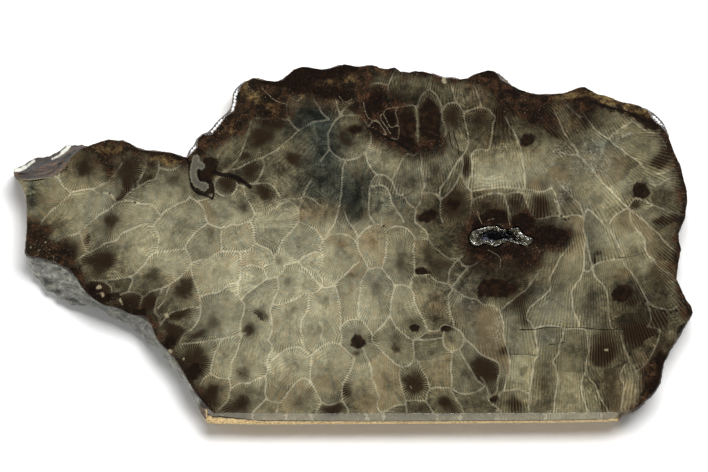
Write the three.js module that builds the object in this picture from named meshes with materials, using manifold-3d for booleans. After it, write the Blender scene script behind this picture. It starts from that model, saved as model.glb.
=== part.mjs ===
// Petoskey stone: a sawn and polished slab of the fossil colony coral Hexagonaria, in millimetres, +Z up.
//
// The slab lies on its sawn back with the polished face up. It has one straight sawn edge with a bevel, along -Y;
// the rest of its rim is natural broken and weathered rock. A small hollow near the right end goes through the
// slab, and a crust of clear calcite crystals lines it. The origin is on the ground, at the middle of the slab's
// bounding box.
//
// Outlines are plotted on a survey grid: gx counts to the right and gy counts down, in steps of STEP millimetres.

import * as THREE from "three";
import { mergeVertices } from "three/addons/utils/BufferGeometryUtils.js";
import Module from "manifold-3d";

// ---------------------------------------------------------------- driving dimensions

const LENGTH = 180; // widest span of the slab, left tip to right corner
const THICKNESS = 15; // sawn back to polished face
const LENGTH_STEPS = 683; // the same span in steps of the survey grid
const STEP = LENGTH / LENGTH_STEPS;
const GRID_MIDDLE = [353.5, 243.7]; // grid point over the origin

const COLUMN_SPACING = 2; // between neighbouring points along the rim
const LIP = 0.45; // how far a natural rim stands out past the polished face
const LIP_DROP = 0.7; // height of the rounded lip under the polished face
const BEVEL_SLOPE = 0.72; // drop of a wide lip or bevel for each millimetre of its width

const CLEARANCE = 0.3; // between the crystal crust and the stone
const CRUST_COLUMNS = 36;

// ---------------------------------------------------------------- grid, curves and noise

const lerp = THREE.MathUtils.lerp;
const clamp = THREE.MathUtils.clamp;

function plot([gx, gy]) {
  return new THREE.Vector2((gx - GRID_MIDDLE[0]) * STEP, (GRID_MIDDLE[1] - gy) * STEP);
}

// Evenly spaced points on a smooth curve through the given ones, both ends included.
function resample(points, count) {
  return new THREE.SplineCurve(points).getSpacedPoints(count - 1);
}

function polylineLength(points) {
  let total = 0;
  for (let i = 1; i < points.length; i += 1) {
    total += points[i].distanceTo(points[i - 1]);
  }
  return total;
}

// Lumps along the rim, from -1 to 1: along is the distance round the rim, level runs from face to back.
function lump(along, level) {
  return (
    0.4 * Math.sin(along * 0.52 + level * 3.1) +
    0.35 * Math.sin(along * 1.13 - level * 5.3 + 1.7) +
    0.25 * Math.sin(along * 2.31 + level * 8.7 + 0.6)
  );
}

// ---------------------------------------------------------------- the slab's outline

// Each stretch runs clockwise as seen from the polished side. rim is the widest outline. face is the edge of the
// polished face along it, or wide lists the places where a natural lip is ground back to a glossy facet, each as
// [distance along the stretch in steps, half length in steps, width in millimetres].
// level is the height of the widest outline as a share of the thickness, undercut the inset of the sawn back
// from it, rough the size of the lumps, and spacing the distance between points where it isn't the usual one.
const STRETCHES = [
  {
    // the pointed end of the left lobe, with its banded side showing
    rim: [
      [12, 168], [15, 165], [20, 165], [27, 162], [33, 157], [42, 157], [50, 154], [58, 150], [64, 146],
      [68, 142.5], [72, 144], [80, 144], [87, 145],
    ],
    face: [[14, 176], [22, 180], [38, 178.5], [54, 176], [64, 168], [72, 156.5], [81, 149], [88, 147]],
    level: 0.55, undercut: 1.2, rough: 0.35,
  },
  {
    // the top of the lobe, up to the notch
    rim: [
      [87, 145], [93, 143], [99, 140.5], [105, 138.5], [110, 137.5], [116, 139], [124, 139.5], [129, 141],
      [135, 145], [140, 148], [148, 149], [158, 150], [168, 150.5], [175, 152], [181, 155], [186, 157.5],
    ],
    wide: [],
    level: 0.5, undercut: 0.9, rough: 0.3,
  },
  {
    // from the notch up the shoulder to the crown, with a long glossy facet
    rim: [
      [186, 157.5], [188, 150], [192, 146], [195, 140], [201, 134], [207, 132], [211, 128], [214, 124],
      [217, 120], [221, 116.5], [226, 113], [229, 109], [230.5, 104], [231, 98], [232, 91], [237, 86],
      [243, 82], [247, 79], [251, 76.5], [256, 76], [260, 78],
    ],
    wide: [[12, 9, 1.5], [47, 14, 1.5], [78, 16, 1.7]],
    level: 0.5, undercut: 0.8, rough: 0.3,
  },
  {
    // the lumpy top edge
    rim: [
      [260, 78], [266, 79], [272, 79.5], [279, 80], [283, 78], [287, 74], [290, 70], [295, 67], [300, 65.5],
      [306, 65], [312, 66], [318, 67.5], [323, 68], [329, 67], [335, 66], [339, 63.5], [344, 62.5], [350, 63],
      [354, 65.5], [360, 65], [366, 64], [372, 63.5], [377, 64.5], [382, 67], [388, 67.5], [391, 66.5],
      [394, 65.5], [397, 67], [401, 70], [407, 71], [413, 70.5], [417, 69.5], [424, 70], [430, 71.5],
      [436, 73.5], [441, 76], [447, 77], [453, 76.5], [458, 77.5], [464, 78], [470, 75], [476, 72.5],
      [482, 70], [488, 68.5], [494, 69.5], [499, 71.5], [504, 75], [508, 79], [512, 83.5], [518, 87],
      [525, 89.5], [532, 92], [540, 93], [548, 93], [555, 92], [562, 92], [568, 90.5], [573, 88.5],
      [578, 86], [584, 85], [589, 87], [593, 90], [599, 93], [605, 94], [611, 96], [616, 98.5], [621, 100.5],
      [627, 101.5],
    ],
    wide: [[262, 8, 1.3]],
    level: 0.42, undercut: 0.9, rough: 0.4,
  },
  {
    // round the right-hand end
    rim: [
      [627, 101.5], [634, 102.5], [640, 105], [646, 108], [651, 110.5], [656, 113], [660, 117], [664, 121],
      [666, 126], [668, 132], [671, 139], [674, 147], [677, 155], [680, 161], [682, 167], [684, 173],
      [685, 179], [687, 186], [688.5, 192], [689, 200], [688.5, 206], [687, 213], [686, 221], [683, 227],
      [681, 231], [680, 238], [683, 250], [681, 256], [680, 262], [679, 272], [678, 279], [681, 284],
      [683, 290], [686, 297], [690, 302], [693, 307], [695, 313],
    ],
    wide: [[36, 13, 1.8]],
    level: 0.4, undercut: 0.9, rough: 0.35,
  },
  {
    // the lower right, where a thin side shows
    rim: [
      [695, 313], [692, 319], [688, 326], [683, 334], [679, 341], [674, 348], [670, 355], [667, 362],
      [665, 370], [663, 377], [661, 385], [658, 391], [653, 397], [648, 402], [642, 408], [636, 413],
      [629, 417], [622, 420], [614, 421.5],
    ],
    face: [
      [692, 313], [688, 319], [685, 324], [681, 331], [676, 338], [672, 346], [668, 353], [665, 359],
      [662, 366], [661, 374], [659, 382], [655, 390], [649, 396], [644, 401], [638, 406], [631, 409.5],
      [622, 411.5], [614, 412.2],
    ],
    level: 0.3, undercut: 0.5, rough: 0.3,
  },
  {
    // the straight sawn edge with its bevel, lapped by hand, so that it bows out by a hair
    rim: [[614, 421.5], [600, 422.5], [540, 423.2], [400, 424.2], [260, 424.9], [243, 425.5], [225, 424.7], [212, 424]],
    face: [[614, 412.2], [590, 412.7], [500, 413.2], [400, 413.5], [300, 413.3], [222, 412.8]],
    level: 0.02, undercut: 0.15, rough: 0.03, sawn: true, spacing: 13,
  },
  {
    // the gold corner and the lower left, where grey rind slopes out from under the face
    rim: [
      [212, 424], [205, 422], [201, 417], [197, 411], [194, 405], [191, 398], [190, 393], [188, 388], [184, 383],
      [178, 377], [172, 372], [167, 366], [162, 357], [157, 350], [150, 346], [144, 342], [138, 337],
      [133, 331], [127, 327], [120, 324], [112, 320], [106, 317], [101, 313], [95, 309], [88, 307],
      [80, 308], [72, 307], [64, 304], [57, 301], [50, 296], [42, 290], [36, 285], [32, 277], [29, 270],
      [26, 262], [24, 256],
    ],
    face: [
      [222, 412.8], [213, 412.8], [209, 409], [204, 403], [198, 395], [193, 388], [189, 381], [185, 374],
      [180, 366], [175, 358], [170, 352], [165, 347], [160, 342], [156, 337], [154, 331], [152, 325],
      [149, 319], [144, 316], [137, 314], [131, 316], [127, 312], [122, 309], [115, 307], [107, 306],
      [100, 303], [93, 298], [87, 293], [82, 287], [78, 280], [73, 273], [68, 268], [62, 265], [55, 262],
      [47, 259], [38, 257], [30, 256], [25.5, 252],
    ],
    level: 0.28, undercut: 1.6, rough: 0.75,
  },
  {
    // the left end, back to the tip
    rim: [
      [24, 256], [23.5, 250], [24, 240], [25, 228], [25, 216], [25, 205], [24, 197], [22, 192], [20, 186],
      [16, 178], [13, 172], [12, 168],
    ],
    face: [[25.5, 252], [26, 247], [26.5, 240], [27, 228], [27, 205], [26, 197], [24, 191], [21, 185], [17, 179], [14, 176]],
    level: 0.45, undercut: 0.9, rough: 0.3,
  },
];

// Inset of the polished face behind a plain natural rim, with its wide glossy facets.
function lipWidth(stretch, steps) {
  let width = LIP;
  for (const [middle, half, most] of stretch.wide) {
    const near = 1 - Math.min(1, Math.abs(steps - middle) / half);
    width = Math.max(width, lerp(LIP, most, Math.min(1, near * 3)));
  }
  return width;
}

// Points set in from a clockwise rim, each along the normal of its neighbours.
function insetRim(rim, widths) {
  return rim.map((point, i) => {
    const before = rim[Math.max(0, i - 1)];
    const after = rim[Math.min(rim.length - 1, i + 1)];
    const along = after.clone().sub(before).normalize();
    return new THREE.Vector2(point.x + along.y * widths[i], point.y - along.x * widths[i]);
  });
}

// The columns round the slab. Each has the rim point, the face point and the figures of its stretch.
function slabColumns() {
  const columns = [];
  let travelled = 0;
  for (const stretch of STRETCHES) {
    const rimPoints = stretch.rim.map(plot);
    const length = polylineLength(rimPoints);
    const count = Math.round(length / (stretch.spacing ?? COLUMN_SPACING)) + 1;
    const rim = resample(rimPoints, count);
    const steps = rim.map((_, i) => (i / (count - 1)) * (length / STEP));
    const face = stretch.face
      ? resample(stretch.face.map(plot), count)
      : insetRim(rim, steps.map((at) => lipWidth(stretch, at)));
    for (let i = 0; i < count - 1; i += 1) {
      columns.push({ rim: rim[i], face: face[i], along: travelled + steps[i] * STEP, stretch });
    }
    travelled += length;
  }
  return columns;
}

// ---------------------------------------------------------------- the slab's side

const SIDE_SHARES = [0, 0.22, 0.45, 0.7, 1]; // rings from under the lip down to the widest outline
const UNDER_SHARES = [0.35, 0.7, 1]; // rings from the widest outline down to the sawn back
const RIDGE_LIFT = [0, 0.2, 1.1, -0.5, 0]; // how the rind's long ridge and gully stand off its slope
const WIDE_SLOPE = 2.2; // a side that slopes out further than this is rind
const BREAK_DEPTH = 1.5; // how deep the broken sides are bitten in, for a roughness of 1

// One column of the side, from the polished face down to the back.
function sideProfile({ rim, face, along, stretch }) {
  const out = rim.clone().sub(face);
  const width = out.length();
  const away = out.clone().normalize();
  const bevelled = stretch.sawn === true;
  const rind = !bevelled && width > WIDE_SLOPE;
  const drop = rind ? LIP_DROP : Math.max(LIP_DROP, width * BEVEL_SLOPE);
  const lipShare = bevelled ? 0.68 : rind ? 0.12 : 0.8;
  const widest = THICKNESS * stretch.level * (1 + 0.25 * lump(along, 0.3));
  const bite = (level) => BREAK_DEPTH * stretch.rough * (0.5 + 0.5 * lump(along, level));
  const at = (outward, z) => {
    return new THREE.Vector3(face.x + away.x * outward, face.y + away.y * outward, z);
  };

  const profile = [at(0, THICKNESS)];
  SIDE_SHARES.forEach((share, k) => {
    const between = share > 0 && share < 1;
    const bulge = rind ? share : Math.sin((share * Math.PI) / 2);
    const inward = between && !rind ? bite(k) : 0;
    const lift = between && rind ? RIDGE_LIFT[k] + stretch.rough * lump(along, k) : 0;
    const outward = lerp(width * lipShare, width, bulge) - inward;
    profile.push(at(outward, lerp(THICKNESS - drop, widest, share) + lift));
  });
  UNDER_SHARES.forEach((share, k) => {
    const inset = stretch.undercut * share ** 1.6 + bite(7 + k) * 0.7 * share;
    profile.push(at(width - inset, widest * (1 - share)));
  });
  return profile;
}

// ---------------------------------------------------------------- closed meshes from rings of columns

// A closed loft: columns[i][k] is point k of column i, and the columns go once round, clockwise from above.
// capFirst and capLast close the loops of the first and the last points; without them the rings close up on
// themselves, as round a tube.
function loft(columns, capped) {
  const rings = columns[0].length;
  const count = columns.length;
  const positions = columns.flatMap((column) => column.flatMap((p) => [p.x, p.y, p.z]));
  const index = [];
  const id = (i, k) => (i % count) * rings + (k % rings);
  const bands = capped ? rings - 1 : rings;
  for (let i = 0; i < count; i += 1) {
    for (let k = 0; k < bands; k += 1) {
      index.push(id(i, k), id(i + 1, k), id(i + 1, k + 1));
      index.push(id(i, k), id(i + 1, k + 1), id(i, k + 1));
    }
  }
  if (capped) {
    for (const [ring, flip] of [[0, false], [rings - 1, true]]) {
      const loop = columns.map((column) => new THREE.Vector2(column[ring].x, column[ring].y));
      for (const [a, b, c] of THREE.ShapeUtils.triangulateShape(loop, [])) {
        index.push(...(flip ? [id(a, ring), id(c, ring), id(b, ring)] : [id(a, ring), id(b, ring), id(c, ring)]));
      }
    }
  }
  const geometry = new THREE.BufferGeometry();
  geometry.setAttribute("position", new THREE.Float32BufferAttribute(positions, 3));
  geometry.setIndex(index);
  return geometry;
}

const wasm = await Module();
wasm.setup();

function toSolid(geometry) {
  const bare = geometry.clone();
  for (const name of Object.keys(bare.attributes)) {
    if (name !== "position") {
      bare.deleteAttribute(name);
    }
  }
  const merged = mergeVertices(bare);
  const vertProperties = new Float32Array(merged.attributes.position.array);
  const triVerts = new Uint32Array(merged.index.array);
  return new wasm.Manifold(new wasm.Mesh({ numProp: 3, vertProperties, triVerts }));
}

function toGeometry(solid) {
  const mesh = solid.getMesh();
  const geometry = new THREE.BufferGeometry();
  geometry.setAttribute("position", new THREE.Float32BufferAttribute(mesh.vertProperties, 3));
  geometry.setIndex(Array.from(mesh.triVerts));
  const flat = geometry.toNonIndexed();
  flat.computeVertexNormals();
  return flat;
}

// ---------------------------------------------------------------- the hollow and its crystals

// The hollow's mouth in the polished face, clockwise from its left end.
const MOUTH = [
  [467.5, 237.7], [472, 230], [481, 226.5], [490, 225], [498, 225], [502, 228], [509, 228.6], [517.5, 225.4],
  [522.5, 231], [528, 235.5], [534.5, 237.5], [531.5, 245], [521, 246], [517, 244.2], [510.5, 242.4],
  [505, 242.8], [498.5, 247.6], [493, 247.6], [486.5, 244.3], [477.3, 247.6], [470.5, 245],
];
const THROAT = [495.6, 237.3]; // middle of the narrow way through
const THROAT_HALF = [2.95, 2.15]; // half width and half depth of the throat in the stone
const EYE_HALF = [2.15, 1.35]; // the same of the opening left by the crystals

// Heights of the hollow's rings and how far each has narrowed from the mouth to the throat.
const HOLLOW_RINGS = [
  [THICKNESS + 1, 0], [THICKNESS, 0], [THICKNESS - 1.6, -0.05], [THICKNESS - 4.5, 0.12],
  [THICKNESS - 7.5, 0.5], [THICKNESS - 10.5, 0.9], [THICKNESS - 12.5, 1], [-1, 1],
];

function mouthLoop(count) {
  const loop = new THREE.SplineCurve([...MOUTH, MOUTH[0]].map(plot));
  return loop.getSpacedPoints(count).slice(0, count);
}

// Point number i of an ellipse round the throat, clockwise from its left end as the mouth runs.
function ellipsePoint(i, half) {
  const middle = plot(THROAT);
  const angle = Math.PI * (1 - (2 * i) / CRUST_COLUMNS);
  return new THREE.Vector2(middle.x + half[0] * Math.cos(angle), middle.y + half[1] * Math.sin(angle));
}

function hollowColumns() {
  return mouthLoop(CRUST_COLUMNS).map((edge, i) => {
    const throat = ellipsePoint(i, THROAT_HALF);
    return HOLLOW_RINGS.map(([z, share]) => {
      const p = edge.clone().lerp(throat, share);
      return new THREE.Vector3(p.x, p.y, z);
    });
  });
}

// How far the crystals reach from the wall towards the eye at each ring going back up, for a standing crystal
// and for the gap beside it.
const CRUST_REACH = [
  { z: THICKNESS - 0.35, crystal: 0.3, gap: 0.22 },
  { z: THICKNESS - 2.4, crystal: 0.62, gap: 0.34 },
  { z: THICKNESS - 5.2, crystal: 0.78, gap: 0.5 },
  { z: THICKNESS - 8.4, crystal: 0.9, gap: 0.74 },
];
const CRUST_OUTER = [THICKNESS - 0.35, THICKNESS - 1.6, THICKNESS - 4.5, THICKNESS - 7.5, THICKNESS - 10.2];

// The stone's wall at height z, pulled in by the clearance.
function wallPoint(edge, i, z) {
  const throat = ellipsePoint(i, THROAT_HALF);
  let share = 1;
  for (let k = 1; k < HOLLOW_RINGS.length; k += 1) {
    const [above, shareAbove] = HOLLOW_RINGS[k - 1];
    const [below, shareBelow] = HOLLOW_RINGS[k];
    if (z <= above && z >= below) {
      share = lerp(shareAbove, shareBelow, (above - z) / (above - below));
    }
  }
  return edge.clone().lerp(throat, share);
}

function crustColumns() {
  const loop = mouthLoop(CRUST_COLUMNS);
  const middle = plot(THROAT);
  return loop.map((edge, i) => {
    const before = loop[(i + CRUST_COLUMNS - 1) % CRUST_COLUMNS];
    const after = loop[(i + 1) % CRUST_COLUMNS];
    const along = after.clone().sub(before).normalize();
    const inward = new THREE.Vector2(along.y, -along.x);
    const column = CRUST_OUTER.map((z) => {
      const wall = wallPoint(edge, i, z);
      const squeeze = clamp(wall.distanceTo(middle) / 3, 0.6, 1);
      const p = wall.addScaledVector(inward, (CLEARANCE * 1.5) / squeeze);
      return new THREE.Vector3(p.x, p.y, z);
    });
    const eye = ellipsePoint(i, EYE_HALF);
    const low = CRUST_OUTER.at(-1);
    column.push(new THREE.Vector3(eye.x, eye.y, low));
    for (const { z, crystal, gap } of [...CRUST_REACH].reverse()) {
      const reach = i % 2 === 0 ? crystal : gap;
      const wall = wallPoint(edge, i, z).addScaledVector(inward, CLEARANCE * 1.5);
      const p = wall.lerp(eye, reach);
      column.push(new THREE.Vector3(p.x, p.y, z - (i % 3) * 0.12));
    }
    return column;
  });
}

// ---------------------------------------------------------------- the object

const stoneFinish = new THREE.MeshStandardMaterial({ color: 0x8a8064, roughness: 0.18, metalness: 0 });
const calciteFinish = new THREE.MeshStandardMaterial({
  color: 0xd9dcdc, roughness: 0.08, metalness: 0, transparent: true, opacity: 0.55,
});

function makeSlab() {
  const body = toSolid(loft(slabColumns().map(sideProfile), true));
  const hollow = toSolid(loft(hollowColumns(), true));
  const slab = new THREE.Mesh(toGeometry(body.subtract(hollow)), stoneFinish);
  slab.name = "slab";
  return slab;
}

function makeVugCrystals() {
  const crust = new THREE.Mesh(toGeometry(toSolid(loft(crustColumns(), false))), calciteFinish);
  crust.name = "vug_crystals";
  return crust;
}

const petoskeyStone = new THREE.Group();
petoskeyStone.add(makeSlab(), makeVugCrystals());

export default petoskeyStone;
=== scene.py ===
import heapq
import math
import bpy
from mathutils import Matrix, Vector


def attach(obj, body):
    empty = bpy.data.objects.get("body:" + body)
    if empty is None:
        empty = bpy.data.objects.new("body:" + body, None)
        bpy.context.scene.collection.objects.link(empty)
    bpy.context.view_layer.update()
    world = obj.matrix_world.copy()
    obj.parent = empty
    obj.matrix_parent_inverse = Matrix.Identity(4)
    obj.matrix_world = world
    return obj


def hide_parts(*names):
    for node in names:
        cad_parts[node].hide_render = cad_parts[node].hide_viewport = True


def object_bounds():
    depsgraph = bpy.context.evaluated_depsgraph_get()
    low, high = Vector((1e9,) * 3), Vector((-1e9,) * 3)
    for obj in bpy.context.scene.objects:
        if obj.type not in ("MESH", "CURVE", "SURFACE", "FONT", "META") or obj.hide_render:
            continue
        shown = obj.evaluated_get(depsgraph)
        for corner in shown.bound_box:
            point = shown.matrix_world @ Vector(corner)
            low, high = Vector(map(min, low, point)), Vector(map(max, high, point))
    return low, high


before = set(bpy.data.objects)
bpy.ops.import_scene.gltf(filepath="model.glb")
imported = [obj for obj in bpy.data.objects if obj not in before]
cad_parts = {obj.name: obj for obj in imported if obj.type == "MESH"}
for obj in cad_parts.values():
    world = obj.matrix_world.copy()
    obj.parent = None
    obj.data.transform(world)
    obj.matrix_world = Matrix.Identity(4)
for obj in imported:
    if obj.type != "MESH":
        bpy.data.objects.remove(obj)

# A sawn and polished slab of the fossil coral Hexagonaria. The slab's solid gives every size: its sides are
# divided finely, its two faces are meshed anew with the corallite walls as edges, and each corallite gets its
# own septa. Lengths are in millimetres until a mesh is made. Places on the polished face are plotted in the
# photograph's pixels, x to the right and y down, as the part's own outline is.

from types import SimpleNamespace

import bpy
import numpy as np
from mathutils import Vector, geometry, kdtree, noise

CAD_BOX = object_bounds()
MM = 0.001
NOISE_SEED = 5
noise.seed_set(NOISE_SEED)  # without it the noise's vectors change from run to run

LENGTH = 180.0  # the slab's widest span
LENGTH_PIXELS = 683  # the same span in pixels
STEP = LENGTH / LENGTH_PIXELS
MIDDLE = (353.5, 243.7)  # the pixel over the origin
IMAGE = (708, 472)
THICKNESS = 15.0

SEPTUM_SPACING = 0.7  # between neighbouring septa where they meet the wall
COUNT_UNIT = 100.0  # the septa's number is kept as a share of this
WALL_WANDER = 0.16  # how far a wall strays from its plotted line
WALL_LEAN = (1.4, -1.1)  # how far the walls have moved across when they reach the sawn back

FACE_GRID = 0.56  # spacing of the points in the polished face
BACK_GRID = 1.3  # and in the sawn back
SIDE_EDGE = 1.05  # longest edge on the broken sides
FINE_EDGE = 0.5  # and on the layered tip of the lobe


def plot(x, y):
    """Where a pixel of the photograph lies on the slab, in millimetres."""
    return ((x - MIDDLE[0]) * STEP, (MIDDLE[1] - y) * STEP)


# The values that the stone is coloured by, up to three in each of the mesh's attributes. The shader reads
# them by the same names.
POINT_FIELDS = {
    "marks": ("wall", "groove", "crust"),
    "sides": ("rind", "sawn", "back"),
    "extra": ("fleck", "dot", "ochre"),
    "surface": ("side", "facet", "depth"),
    "zone": ("layered", "hollow", "streak"),
    "fill": ("worm", "deep", "shadow"),
}
CORNER_FIELDS = {
    "stain": ("dark", "pit"),
    "septa": ("cosine", "sine", "count"),
    "corallite": ("tone", "warmth", "out"),
}


# ---------------------------------------------------------------- readings from the polished face, in pixels

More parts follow.
